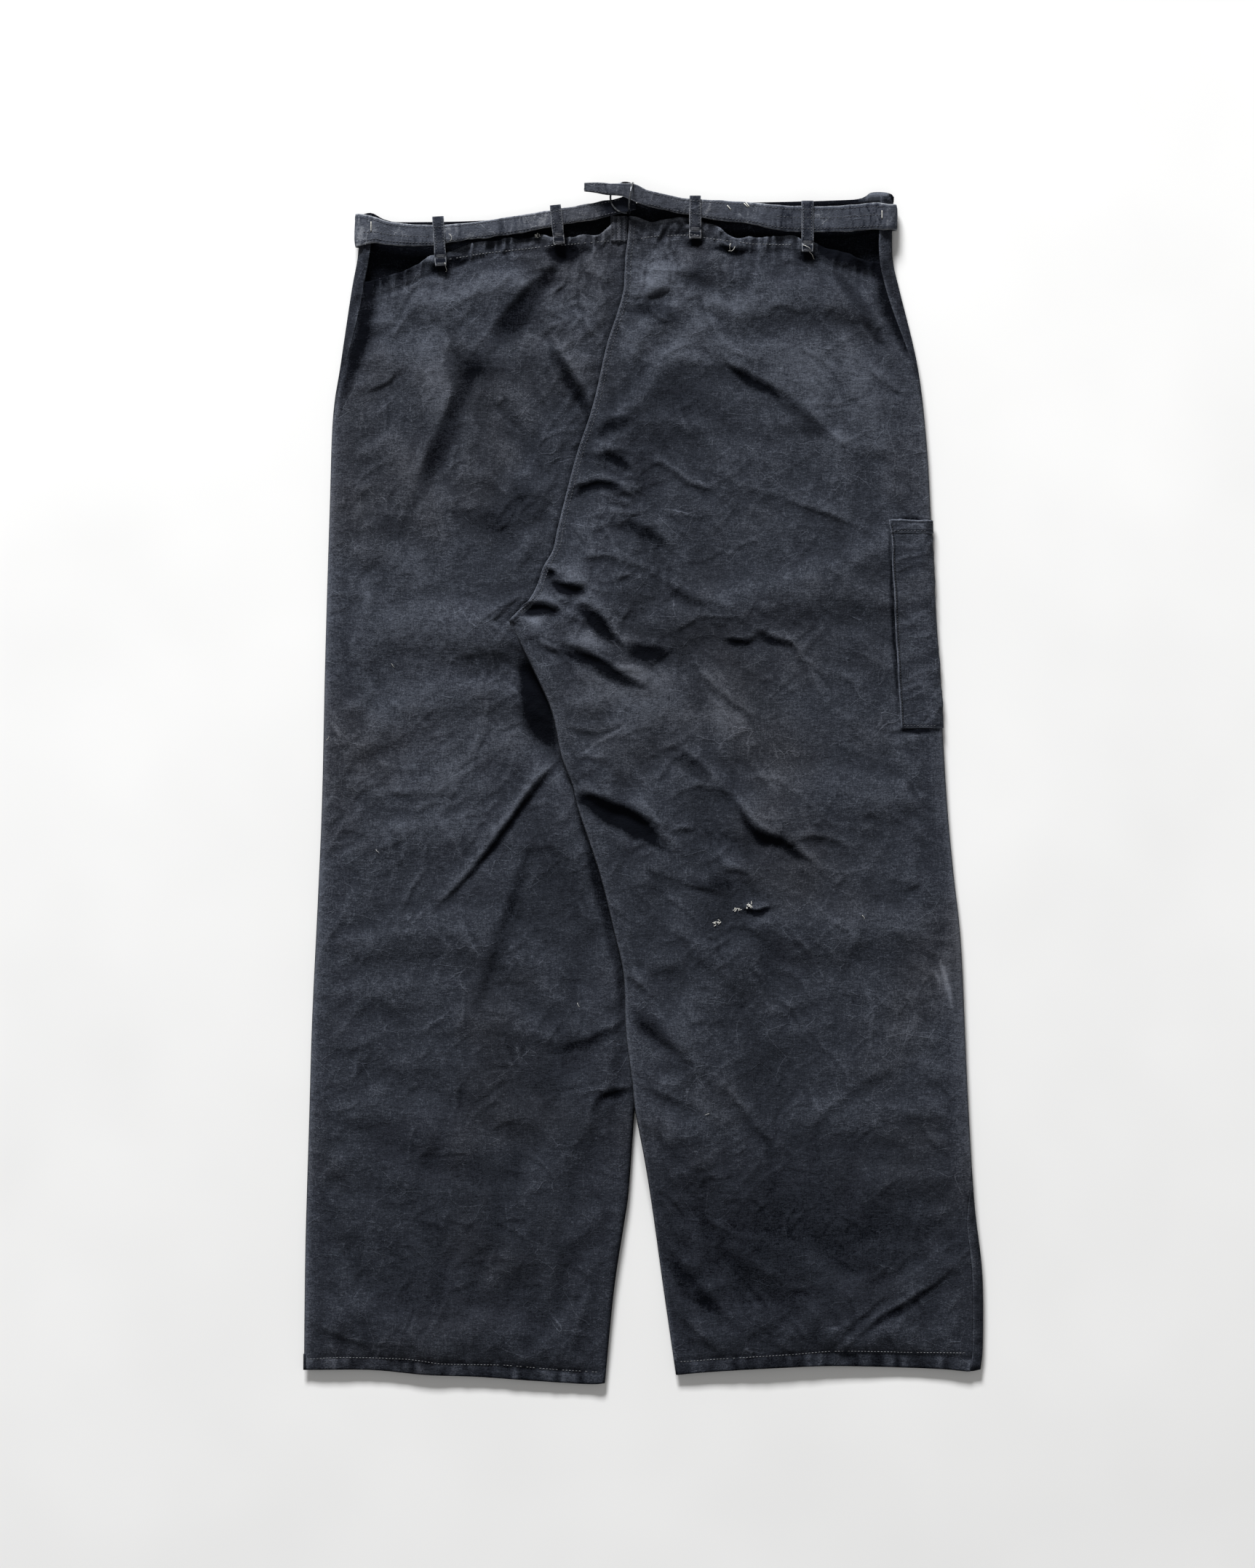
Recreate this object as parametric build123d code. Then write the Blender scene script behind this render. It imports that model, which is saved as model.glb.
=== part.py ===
from build123d import *
import math
import os

# Cotton-duck firefighting trousers lying front down on a flat surface.
# Millimetres. +Y runs from the hems to the waist, +Z away from the surface,
# +X towards the wearer's right. The origin is under the middle of the garment.

os.makedirs("parts", exist_ok=True)

# ---- driving dimensions -------------------------------------------------------

HALF_LENGTH = 550.0          # half the garment's length
HALF_WIDTH = 311.0           # half its width across the hems

CLOTH = 1.5                  # duck and lining, pressed together
AIR = 10.0                   # room between the front and the back of a leg
BACK_Z = CLOTH + AIR         # underside of the back panels
TOP_Z = BACK_Z + CLOTH       # outer face of the back panels
FIT = 0.05                   # play between cloth layers that lie on each other

SEAM_WIDTH = 6.0             # felled side seams and inseams
SEAM_LINE = 3.2              # slot left for the centre seams
SEAM_RIB = 3.0
HEM_DEPTH = 12.0
HEM_CLOTH = 1.4
CASING_DEPTH = 18.0
CASING_CLOTH = 0.9
BAND_DEPTH = 35.0
BAND_CLOTH = 1.2

LEG_LIFT = 13.6              # the right thigh lies this much higher, over the left
LIFT_FLAT = 90.0             # width of the lifted zone beside the right inseam
LIFT_RAMP = 60.0

STRAP_Z = 15.3
STRAP_CLOTH = 2.0
STRAP_RISE = 7.7             # the right strap climbs over the left strap's fold
BRIDGE_Z = STRAP_Z + STRAP_RISE

WIRE_R = 0.9                 # ring wire
BORE_R = WIRE_R + FIT
RING_HALF = 13.55            # half the straight bar, to the wire's centre
RING_DEPTH = 16.5            # bar to crown, to the wire's centre
RING_TURN = -6.9             # the bars' slant in plan, degrees
RING_PLACE = (-10.6, 534.6, 17.3)
RING_GAP = 3.0               # spacing of the two bars in the fold
UPRIGHT_LEAN = -5.0
FLAT_LEAN = -81.0

TAIL_HINGE_X = -28.0

LOOP_WIDTH = 10.5
LOOP_CLOTH = 1.1
LOOP_TACK = 8.0
LOOP_HEIGHT = 5.15

BUTTON_R = 8.0
BUTTONHOLE_R = 8.6
BUTTON_X = 14.0
BUTTON_ROWS = (380.0, 425.0, 470.0)
WAIST_BUTTON_Y = 515.0

# ---- seam and edge lines of the garment, drawn flat ----------------------------

CROTCH = (-122.5, 148.6)
SEAT_TOP = (-12.4, 519.0)
WAIST_MIDDLE = (-12.4, 531.0)
LEFT_CORNER = (-258.0, 521.0)
RIGHT_CORNER = (229.0, 535.0)
LEFT_HEM_OUT = (-HALF_WIDTH, -536.0)
LEFT_HEM_IN = (-35.0, -549.0)
RIGHT_HEM_IN = (30.0, -541.0)
RIGHT_HEM_OUT = (309.5, -535.0)
HIDDEN_TOP = (-60.0, 148.6)


def curve(*points):
    return Spline(*points)


def shape(*edges):
    """A flat face inside a closed chain of edges."""
    return Face(Wire(list(edges)))


seat_line = curve(CROTCH, (-109.5, 163), (-97, 181), (-82, 213), (-60.5, 300), (-33, 400),
                  (-17.4, 451), (-13.5, 497), SEAT_TOP)

left_outline = shape(
    curve(LEFT_CORNER, (-262, 478), (-277, 384), (-287, 251), (-294, 0), (-303, -214),
          (-309, -414), LEFT_HEM_OUT),
    curve(LEFT_HEM_OUT, (-250, -537), (-150, -543), (-60, -550), LEFT_HEM_IN),
    curve(LEFT_HEM_IN, (-26.7, -464), (-13.4, -375), (-9, -298), (10, -150), (5, 0),
          (-25, 100), HIDDEN_TOP),
    Line(HIDDEN_TOP, CROTCH),
    seat_line,
    Line(SEAT_TOP, WAIST_MIDDLE),
    curve(WAIST_MIDDLE, (-50, 528), (-130, 516), (-215, 514), LEFT_CORNER),
)

right_outline = shape(
    curve(CROTCH, (-100, 103), (-84, 66.5), (-65, -1), (-40, -82), (-18, -176), (-10, -274),
          (9, -393), (18, -458), RIGHT_HEM_IN),
    curve(RIGHT_HEM_IN, (118, -535), (179, -533), (268, -535.6), RIGHT_HEM_OUT),
    curve(RIGHT_HEM_OUT, (HALF_WIDTH - 0.02, -500), (307, -414), (297, -281), (284, -81), (272, 85),
          (263, 251), (251, 384), (229, 477), RIGHT_CORNER),
    curve(RIGHT_CORNER, (180, 532.5), (100, 532), WAIST_MIDDLE),
    Line(WAIST_MIDDLE, SEAT_TOP),
    seat_line,
)

# the back is cut lower than the front, so its waist edge takes this much off
ABOVE = 600.0
left_back_cut = shape(
    curve((-8, 520), (-50, 509), (-85, 502), (-138, 497.5), (-177, 487), (-220, 468), (-250, 458),
          (-285, 452)),
    Line((-285, 452), (-285, ABOVE)),
    Line((-285, ABOVE), (-8, ABOVE)),
    Line((-8, ABOVE), (-8, 520)),
)
right_back_cut = shape(
    curve((-16, 520), (15, 513.7), (56, 515), (84, 501), (142, 500), (172, 488), (199, 481),
          (250, 468)),
    Line((250, 468), (250, ABOVE)),
    Line((250, ABOVE), (-16, ABOVE)),
    Line((-16, ABOVE), (-16, 520)),
)

# ---- helpers ------------------------------------------------------------------


def shifted(face, x, y):
    return Pos(x, y, 0) * face


def window(x_low, x_high, y_low, y_high):
    """A plain rectangle used to keep one stretch of a band."""
    middle = Pos((x_low + x_high) / 2, (y_low + y_high) / 2, 0)
    return middle * Rectangle(x_high - x_low, y_high - y_low).face()


def prism(face, z_low, z_high):
    return extrude(Pos(0, 0, z_low) * face, z_high - z_low, dir=(0, 0, 1))


def block(x_low, x_high, y_low, y_high, z_low, z_high):
    return prism(window(x_low, x_high, y_low, y_high), z_low, z_high)


def centre_band(width):
    """A band of this width along the centre seam, front and back alike."""
    half = width / 2
    left = Pos(-half, 0, 0) * seat_line
    right = Pos(half, 0, 0) * seat_line
    top_left = Line((SEAT_TOP[0] - half, SEAT_TOP[1]), (SEAT_TOP[0] - half, ABOVE))
    top_right = Line((SEAT_TOP[0] + half, SEAT_TOP[1]), (SEAT_TOP[0] + half, ABOVE))
    foot = Line((CROTCH[0] - half, CROTCH[1]), (CROTCH[0] + half, CROTCH[1]))
    head = Line((SEAT_TOP[0] - half, ABOVE), (SEAT_TOP[0] + half, ABOVE))
    return shape(left, top_left, head, top_right, right, foot)


LEG_SLANT = Vector(0.25, -0.968, 0).normalized()    # the way the right inseam runs
ACROSS_LEG = Vector(0, 0, 1).cross(LEG_SLANT)
DEEP = 40.0


def mound(plane, points, reach):
    """A ridge with this outline, running along the plane's normal both ways."""
    outline = Polyline(*points, close=True)
    return extrude(plane * Face(outline.wire()), reach, both=True)


def lifted_ground():
    """What the right half lies on: the floor, and the left thigh where it is crossed."""
    crotch = Vector(*CROTCH, 0)
    along = Plane(origin=crotch, x_dir=ACROSS_LEG, z_dir=LEG_SLANT)
    beside = Plane(origin=crotch, x_dir=LEG_SLANT, z_dir=-ACROSS_LEG)
    ridge = mound(along, [(-200, -DEEP), (-200, LEG_LIFT), (LIFT_FLAT, LEG_LIFT),
                          (LIFT_FLAT + LIFT_RAMP, 0), (500, 0), (500, -DEEP)], 900)
    ends = mound(beside, [(-500, -DEEP), (-500, 0), (-170, 0), (-30, LEG_LIFT),
                          (460, LEG_LIFT), (600, 0), (900, 0), (900, -DEEP)], 700)
    return ridge & ends


GROUND = lifted_ground()


def layer(z_low, z_high):
    """Everything between two heights above the right half's ground."""
    return Pos(0, 0, z_high) * GROUND - Pos(0, 0, z_low) * GROUND


def right_piece(face, z_low, z_high):
    return prism(face, -10, 80) & layer(z_low, z_high)


# ---- flat patterns --------------------------------------------------------------

seam_slot = centre_band(SEAM_LINE)
seam_rib = centre_band(SEAM_RIB)

left_front = left_outline - seam_slot
right_front = right_outline - seam_slot
left_back = left_front - left_back_cut
right_back = right_front - right_back_cut

left_hem_band = (left_outline - shifted(left_outline, 0, HEM_DEPTH)) & window(-320, 0, -560, -505)
right_hem_band = (right_outline - shifted(right_outline, 0, HEM_DEPTH)) & window(10, 320, -560, -505)

left_side_band = ((left_outline - shifted(left_outline, SEAM_WIDTH, 0))
                  & window(-320, -240, -545, 600)) - left_hem_band
left_inner_band = ((left_outline - shifted(left_outline, -SEAM_WIDTH, 0))
                   & window(-75, 30, -560, 140)) - left_hem_band
right_side_band = ((right_outline - shifted(right_outline, -SEAM_WIDTH, 0))
                   & window(215, 320, -545, 600)) - right_hem_band
right_inner_band = ((right_outline - shifted(right_outline, SEAM_WIDTH, 0))
                    & window(-118, 50, -560, 140)) - right_hem_band

FLY_RIGHT = 34.0
FLY_BOTTOM = 345.0
fly_window = window(SEAT_TOP[0], FLY_RIGHT + 0.4, FLY_BOTTOM - 0.4, 560)
fly_line = SEAT_TOP[0] + SEAM_LINE / 2

# ---- legs and seams ---------------------------------------------------------------


def left_front_panel():
    return prism(left_front, 0, CLOTH)


def left_back_panel():
    return prism(left_back, BACK_Z, TOP_Z)


def right_front_panel():
    return right_piece(right_front - fly_window, 0, CLOTH)


def right_back_panel():
    return right_piece(right_back, BACK_Z, TOP_Z)


def left_side_seam():
    return prism(left_side_band, CLOTH, BACK_Z)


def left_inseam():
    return prism(left_inner_band, CLOTH, BACK_Z)


def right_side_seam():
    return prism(right_side_band, CLOTH + FIT, BACK_Z - FIT)


def right_inseam():
    return right_piece(right_inner_band, CLOTH + FIT, BACK_Z - FIT)


def seat_seam():
    """The back centre seam. Near the crotch it closes the step up to the lifted half."""
    kept = seam_rib & window(-160, 20, CROTCH[1] + 1, SEAT_TOP[1] - 1)
    return prism(kept, BACK_Z, 80) & Pos(0, 0, TOP_Z + 0.8) * GROUND


def front_rise_seam():
    kept = seam_rib & window(-160, 20, CROTCH[1] + 1, WAIST_MIDDLE[1] - 1)
    return prism(kept, 0, BACK_Z - 2 * FIT) & Pos(0, 0, CLOTH + 0.8) * GROUND


def leg_hem(band, play):
    """The leg's end, turned up inside it: a flattened tube."""
    ring = prism(band, CLOTH + play, BACK_Z - play)
    box = band.bounding_box()
    hollow = block(box.min.X + 4, box.max.X - 4, box.min.Y - 5, box.max.Y + 5,
                   CLOTH + HEM_CLOTH, BACK_Z - HEM_CLOTH)
    return ring - hollow


def left_leg_hem():
    return leg_hem(left_hem_band, 0)


def right_leg_hem():
    return leg_hem(right_hem_band, FIT)


# ---- waist ------------------------------------------------------------------------


def casing(back, z_low):
    """The back waist's gathered casing, stitched down along its lower edge."""
    band = (back - shifted(back, 0, -CASING_DEPTH)) & window(-270, 240, 430, 560)
    return prism(band, z_low, z_low + CASING_CLOTH)


def left_back_casing():
    return casing(left_back & window(-262, 0, 400, 600), TOP_Z)


def right_back_casing():
    return casing(right_back & window(-50, 226, 400, 600), TOP_Z + FIT)


def front_waistband(front, x_low, x_high, z_low):
    band = (front - shifted(front, 0, -BAND_DEPTH)) & window(x_low, x_high, 470, 560)
    return prism(band, z_low, z_low + BAND_CLOTH)


def left_front_waistband():
    return front_waistband(left_front, -250, -16, CLOTH)


def right_front_waistband():
    return front_waistband(right_front, FLY_RIGHT + 11, 220, CLOTH + FIT)


def centre_back_tab():
    z_low = TOP_Z + CASING_CLOTH + FIT
    return block(-29.5, -14.6, 496, 508, z_low, z_low + CASING_CLOTH)


# ---- fly --------------------------------------------------------------------------

button_places = [(BUTTON_X, y) for y in BUTTON_ROWS]
STAND_Z = CLOTH + FIT


def fly_flap():
    """The placket sewn to the left front. It swings on the front seam."""
    z_low = 0.25
    flap = block(fly_line + 0.5, FLY_RIGHT, FLY_BOTTOM, 530, z_low, STAND_Z - 0.2)
    corner = flap.edges().filter_by(Axis.Z).sort_by(lambda e: e.center().X - e.center().Y)[-1]
    flap = fillet(corner, 30)
    for x, y in button_places + [(BUTTON_X, WAIST_BUTTON_Y)]:
        flap -= Pos(x, y, z_low) * Cylinder(BUTTONHOLE_R, 10)
    return flap


def fly_button_stand():
    """The under-fly. It carries the buttons and closes the cut in the right front."""
    return block(fly_line + 0.5, FLY_RIGHT + 9, FLY_BOTTOM - 8, 530.5, STAND_Z, STAND_Z + 1.2)


def button(x, y):
    thick = STAND_Z - 0.3
    disc = Pos(x, y, STAND_Z - thick / 2) * Cylinder(BUTTON_R, thick)
    return chamfer(disc.edges().sort_by(Axis.Z)[0], 0.4)


def fly_buttons():
    return Compound(children=[button(x, y) for x, y in button_places])


def waist_button():
    return button(BUTTON_X, WAIST_BUTTON_Y)


# ---- belt -------------------------------------------------------------------------

ring_frame = Location(RING_PLACE, (0, 0, RING_TURN))

left_strap_face = shape(
    curve((-257.5, 521), (-228, 513.5), (-193, 510.6), (-159, 511), (-129, 517), (-85, 524.5),
          (-50, 533), (-14, 543.5)),
    Line((-14, 543.5), (-14, 525)),
    curve((-14, 525), (-20, 524.4), (-50, 516), (-85, 508.5), (-136, 500), (-193, 492), (-216, 491.5),
          (-244, 494), (-260.5, 491)),
    Line((-260.5, 491), (-257.5, 521)),
)

TAIL_TOP = (TAIL_HINGE_X, 546.5)
TAIL_BOTTOM = (TAIL_HINGE_X, 535.0)
right_strap_face = shape(
    curve((229, 530), (206, 530.5), (177, 528), (137, 527.4), (100, 531), (65, 533.4),
          (41.6, 534.6), (0, 541.5), (-17, 544.8), TAIL_TOP),
    Line(TAIL_TOP, TAIL_BOTTOM),
    curve(TAIL_BOTTOM, (-6.4, 529.5), (41.6, 519.5), (65, 515.5), (100, 511), (122, 506),
          (146, 504), (179.5, 504), (208, 506), (229, 507)),
    Line((229, 507), (229, 530)),
)


def left_belt_strap():
    """The left half belt. Its inner end is folded round the bars of the two rings."""
    strap = prism(left_strap_face, STRAP_Z, STRAP_Z + STRAP_CLOTH)
    strap += prism(left_strap_face, BACK_Z, STRAP_Z) & block(-270, -252, 480, 530, 0, 20)
    fold = Pos(-0.75, -0.4, 0) * Box(9.3, 19.0, 4.2)
    rounded = fold.edges().filter_by(Axis.Y).sort_by(Axis.X)[-2:]
    fold = fillet(rounded, 1.8)
    strap += ring_frame * fold
    for x in (0, -RING_GAP):
        strap -= ring_frame * Pos(x, 0, 0) * Rot(90, 0, 0) * Cylinder(BORE_R, 60)
    return strap


def strap_side_view():
    """The right strap seen from the side: flat, then up and over the fold."""
    foot = 40.0
    brow = 9.0
    lower = [(235, STRAP_Z), (foot, STRAP_Z), (brow, BRIDGE_Z), (-60, BRIDGE_Z)]
    upper = [(x, z + STRAP_CLOTH) for x, z in reversed(lower)]
    outline = Polyline(*[(x, 0, z) for x, z in lower + upper], close=True)
    return extrude(Pos(0, 600, 0) * Face(outline.wire()), 150, dir=(0, -1, 0))


def right_belt_strap():
    strap = prism(right_strap_face, 0, 60) & strap_side_view()
    strap += prism(right_strap_face, BACK_Z, STRAP_Z) & block(220, 240, 480, 560, 0, 30)
    return strap


def belt_tail():
    """The right strap's free end, past the rings. It lifts about its root."""
    root = TAIL_HINGE_X - 0.1
    outline = shape(
        curve((root, 546.4), (-42, 547.8), (-50, 548.4)),
        curve((-50, 548.4), (-53.7, 544.4), (-50, 540.3)),
        curve((-50, 540.3), (-40, 537.8), (root, 535.0)),
        Line((root, 535.0), (root, 546.4)),
    )
    return prism(outline, BRIDGE_Z, BRIDGE_Z + STRAP_CLOTH)


def belt_ring(offset, lean):
    """A D-shaped wire ring: a straight bar and a bow, standing on its bar."""
    crown = (0, 0, RING_DEPTH)
    bow = ThreePointArc((0, -RING_HALF, 0), crown, (0, RING_HALF, 0))
    wire = sweep(Plane(origin=bow @ 0, z_dir=bow % 0) * Circle(WIRE_R), path=bow)
    wire += Rot(90, 0, 0) * Cylinder(WIRE_R, 2 * RING_HALF)
    for side in (-1, 1):
        wire += Pos(0, side * RING_HALF, 0) * Sphere(WIRE_R)
    return ring_frame * Pos(offset, 0, 0) * Rot(0, lean, 0) * wire


def upright_ring():
    return belt_ring(0, UPRIGHT_LEAN)


def flat_ring():
    return belt_ring(-RING_GAP, FLAT_LEAN)


# ---- belt loops and bar tacks --------------------------------------------------------

LOOPS = {                    # top and bottom of each loop's middle line
    "belt_loop_1": ((-187.4, 518.5), (-184.7, 473.4)),
    "belt_loop_2": ((-80.3, 529.0), (-76.6, 493.0)),
    "belt_loop_3": ((47.5, 537.5), (47.5, 498.3)),
    "belt_loop_4": ((150.0, 532.8), (150.0, 486.0)),
}
LOOP_Z = TOP_Z + CASING_CLOTH + 2 * FIT


def loop_location(top, bottom):
    """Puts local +Y along the loop, with the origin at its lower end."""
    turn = math.degrees(math.atan2(-(top[0] - bottom[0]), top[1] - bottom[1]))
    return Location((bottom[0], bottom[1], LOOP_Z), (0, 0, turn))


def belt_loop(top, bottom):
    """A strip folded into a flat closed ring round the belt, tacked at its lower end."""
    length = math.dist(top, bottom)
    ring = Pos(0, length / 2, LOOP_HEIGHT / 2) * Box(LOOP_WIDTH, length, LOOP_HEIGHT)
    ring = fillet(ring.edges().filter_by(Axis.X), 2.0)
    space = length - LOOP_TACK - LOOP_CLOTH
    slot = Pos(0, LOOP_TACK + space / 2, LOOP_HEIGHT / 2)
    ring -= slot * Box(LOOP_WIDTH + 2, space, LOOP_HEIGHT - 2 * LOOP_CLOTH)
    return loop_location(top, bottom) * ring


def loop_bar_tacks():
    """A dense row of thread across the lower end of each loop."""
    tacks = []
    for top, bottom in LOOPS.values():
        place = loop_location(top, bottom) * Pos(0, 4.5, LOOP_HEIGHT + 0.25)
        tacks.append(place * Box(8.0, 1.6, 0.5))
    return Compound(children=tacks)


def belt_bar_tacks():
    """The tacks that hold the belt halves at the side seams."""
    z = STRAP_Z + STRAP_CLOTH + 0.25
    return Compound(children=[
        Pos(-248.4, 505, z) * Box(1.6, 10, 0.5),
        Pos(218.0, 519, z) * Box(1.6, 9, 0.5),
    ])


# ---- thigh pocket ----------------------------------------------------------------------

pocket_face = shape(
    Line((225, 240), (290, 242)),
    Line((290, 242), (290, 53)),
    Line((290, 53), (235.6, 50)),
    Line((235.6, 50), (225, 240)),
) & right_outline
POCKET_AIR = 0.6
POCKET_Z = TOP_Z + FIT + POCKET_AIR


def thigh_pocket_seam():
    """The pocket's three sewn edges. The top stays open."""
    inside = pocket_face & shifted(pocket_face, SEAM_WIDTH, 0) & shifted(pocket_face, -SEAM_WIDTH, 0)
    inside = inside & shifted(pocket_face, 0, SEAM_WIDTH)
    return prism(pocket_face - inside, TOP_Z + FIT, POCKET_Z)


def thigh_pocket_panel():
    return prism(pocket_face, POCKET_Z, POCKET_Z + 1.2)


def thigh_pocket_hem():
    return prism(pocket_face & window(200, 300, 229, 260), POCKET_Z + 1.2, POCKET_Z + 2.0)


# ---- every piece, by name -----------------------------------------------------------------

PIECES = {
    "left_front_panel": left_front_panel,
    "left_back_panel": left_back_panel,
    "right_front_panel": right_front_panel,
    "right_back_panel": right_back_panel,
    "left_side_seam": left_side_seam,
    "right_side_seam": right_side_seam,
    "left_inseam": left_inseam,
    "right_inseam": right_inseam,
    "seat_seam": seat_seam,
    "front_rise_seam": front_rise_seam,
    "left_leg_hem": left_leg_hem,
    "right_leg_hem": right_leg_hem,
    "left_back_casing": left_back_casing,
    "right_back_casing": right_back_casing,
    "left_front_waistband": left_front_waistband,
    "right_front_waistband": right_front_waistband,
    "centre_back_tab": centre_back_tab,
    "fly_flap": fly_flap,
    "fly_button_stand": fly_button_stand,
    "fly_buttons": fly_buttons,
    "waist_button": waist_button,
    "left_belt_strap": left_belt_strap,
    "right_belt_strap": right_belt_strap,
    "belt_tail": belt_tail,
    "upright_ring": upright_ring,
    "flat_ring": flat_ring,
    "loop_bar_tacks": loop_bar_tacks,
    "belt_bar_tacks": belt_bar_tacks,
    "thigh_pocket_seam": thigh_pocket_seam,
    "thigh_pocket_panel": thigh_pocket_panel,
    "thigh_pocket_hem": thigh_pocket_hem,
}

for name, make in PIECES.items():
    export_step(make(), f"parts/{name}.step")

for name, (top, bottom) in LOOPS.items():
    export_step(belt_loop(top, bottom), f"parts/{name}.step")
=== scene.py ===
import math

import bpy
import numpy as np
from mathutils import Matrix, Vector
from mathutils.bvhtree import BVHTree


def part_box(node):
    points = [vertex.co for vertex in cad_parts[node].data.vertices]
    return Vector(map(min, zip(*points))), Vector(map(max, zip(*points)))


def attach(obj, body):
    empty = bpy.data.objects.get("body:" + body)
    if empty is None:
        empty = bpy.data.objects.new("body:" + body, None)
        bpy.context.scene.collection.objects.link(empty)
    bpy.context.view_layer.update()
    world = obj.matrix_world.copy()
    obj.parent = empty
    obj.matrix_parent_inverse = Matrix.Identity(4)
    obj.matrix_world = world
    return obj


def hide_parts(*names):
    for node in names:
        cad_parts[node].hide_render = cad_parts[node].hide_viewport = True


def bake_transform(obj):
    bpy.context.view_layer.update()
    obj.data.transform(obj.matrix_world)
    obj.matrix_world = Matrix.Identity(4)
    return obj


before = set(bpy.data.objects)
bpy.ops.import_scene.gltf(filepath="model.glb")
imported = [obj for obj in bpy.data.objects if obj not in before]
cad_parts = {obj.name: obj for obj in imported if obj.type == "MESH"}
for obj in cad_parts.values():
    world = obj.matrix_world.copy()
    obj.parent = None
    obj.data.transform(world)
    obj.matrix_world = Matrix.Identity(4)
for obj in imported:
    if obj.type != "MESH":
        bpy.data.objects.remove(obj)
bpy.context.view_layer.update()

# Duck trousers lying front down. Lines and heights are written in millimetres in the
# CAD frame (+Y to the waist, +Z up) and turned into metres where a mesh is made.

MM = 0.001

CLOTH = 1.1                  # thickness of the duck
FRONT_Z = 0.7                # height of the front cloth's outside, before its waves
EDGE_Z = 5.5                 # height of the rolled side edges' middle
BACK_Z = 11.5                # usual height of the back cloth
LEG_LIFT = 13.0              # how much higher the right thigh lies, over the left
ROW_STEP = 2.0               # mesh spacing along the legs
SEED = 11

LOWEST_Y = -540              # near the hems
BACK_LENGTH = 1050
FRONT_LENGTH = 1070
ROWS = int(1060 / ROW_STEP)
EDGE_ROLL = 13.0             # how far in from an edge the cloth curves down
CROTCH = (-122.5, 148.6)
CROTCH_Y = CROTCH[1]

HEM_DEPTH = 12.0
WAISTBAND = 35.0
FLY_RIGHT, FLY_LOW = 43.0, 337.0
BUTTONHOLE = 8.6             # radius
BUTTON_X = 14.0
BUTTON_YS = (380.0, 425.0, 470.0, 515.0)
POCKET_LOW, POCKET_HIGH = 51.0, 241.0
POCKET_STITCH = 2.3          # from the pocket's edge to its stitches
LOOP_WIDTH = 10.5
RING_X = -10.6               # where the rings hold the straps
RING_CALM = 9                # the straps lie flat this near the rings
RING_CLEAR = 8               # and the right one has no stitches this near them

# ---- lines of the garment --------------------------------------------------------


def smooth_line(points, per_span=14):
    """Points along a Catmull-Rom curve through the given ones."""
    p = np.array(points, float)
    p = np.vstack([2 * p[0] - p[1], p, 2 * p[-1] - p[-2]])
    u = np.linspace(0, 1, per_span, endpoint=False)[:, None]
    spans = []
    for a, b, c, d in zip(p[:-3], p[1:-2], p[2:-1], p[3:]):
        spans.append(0.5 * (2 * b + (c - a) * u + (2 * a - 5 * b + 4 * c - d) * u ** 2
                            + (3 * b - a - 3 * c + d) * u ** 3))
    return np.vstack(spans + [p[-2][None]])


def x_of_y(*points):
    line = smooth_line(points)
    order = np.argsort(line[:, 1])
    return lambda y: np.interp(y, line[order, 1], line[order, 0])


def y_of_x(*points):
    line = smooth_line(points)
    order = np.argsort(line[:, 0])
    return lambda x: np.interp(x, line[order, 0], line[order, 1])


left_side = x_of_y((-310.5, -536.5), (-310, -480), (-309, -414), (-306, -314), (-303, -214),
                   (-298, -110), (-294, -15), (-291, 118), (-287, 251), (-284, 335),
                   (-277, 384), (-267, 451), (-261, 485), (-259, 521))
left_inner = x_of_y((-35, -548.6), (-26.7, -464), (-17.8, -405), (-13.4, -375), (-9, -315),
                    (-7.4, -295), (2, -200), (4, -100), (-4, 0), (-30, 70), (-85, 125),
                    CROTCH)
right_inner = x_of_y((30, -541), (18, -458), (9, -393), (1.5, -345), (-7.4, -298), (-10, -274),
                     (-16, -227), (-18, -176), (-27, -134), (-40, -82), (-60, -22),
                     (-65, -1), (-75, 25), (-84, 66.5), (-100, 103), (-109.5, 122),
                     CROTCH)
right_side = x_of_y((309, -535), (311, -513), (310.4, -447), (303, -380), (297, -281),
                    (291, -148), (284, -81), (278, -15), (272, 85), (267, 152), (263, 251),
                    (259, 318), (251, 384), (235, 451), (229, 477), (228, 500), (229, 536))
seat_line = x_of_y(CROTCH, (-109.5, 163), (-100, 171), (-91, 197), (-82, 213),
                   (-76.5, 238), (-60.5, 300), (-50, 331), (-43, 355), (-33, 400),
                   (-26, 422), (-17.4, 451), (-16, 479), (-13.5, 497.5), (-12.4, 519),
                   (-12, 540))

left_hem = y_of_x((-312, -536.5), (-250, -536.5), (-200, -541), (-150, -543), (-100, -546.5),
                  (-50, -549.6), (-33, -548.6))
right_hem = y_of_x((28, -541.5), (59, -538.6), (118, -535), (179, -533), (268, -535.6),
                   (300, -538), (312, -535))
back_waist_left = y_of_x((-285, 446), (-250, 458), (-220, 468), (-200, 478), (-177, 487),
                         (-138, 497.5), (-106, 501), (-85, 501), (-66, 501), (-50, 502.5),
                         (-37, 504), (-30, 510), (-26, 516), (-12, 519), (0, 519))
back_waist_right = y_of_x((-24, 519), (-12, 519), (1, 515), (15, 513.7), (32, 516.6), (56, 515),
                          (70, 508), (84, 500), (122, 501), (142, 500), (172, 488),
                          (199, 481), (235, 470))
front_waist_left = y_of_x((-262, 519), (-249, 522.5), (-235, 516), (-215, 514), (-130, 516.5),
                          (-50, 528), (-12, 531), (0, 531))
front_waist_right = y_of_x((-20, 531), (-12, 531), (60, 533), (100, 532), (180, 534),
                           (200, 536), (207, 540.5), (216, 541.5), (226, 540), (231, 534))

# ---- noise -----------------------------------------------------------------------


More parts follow.
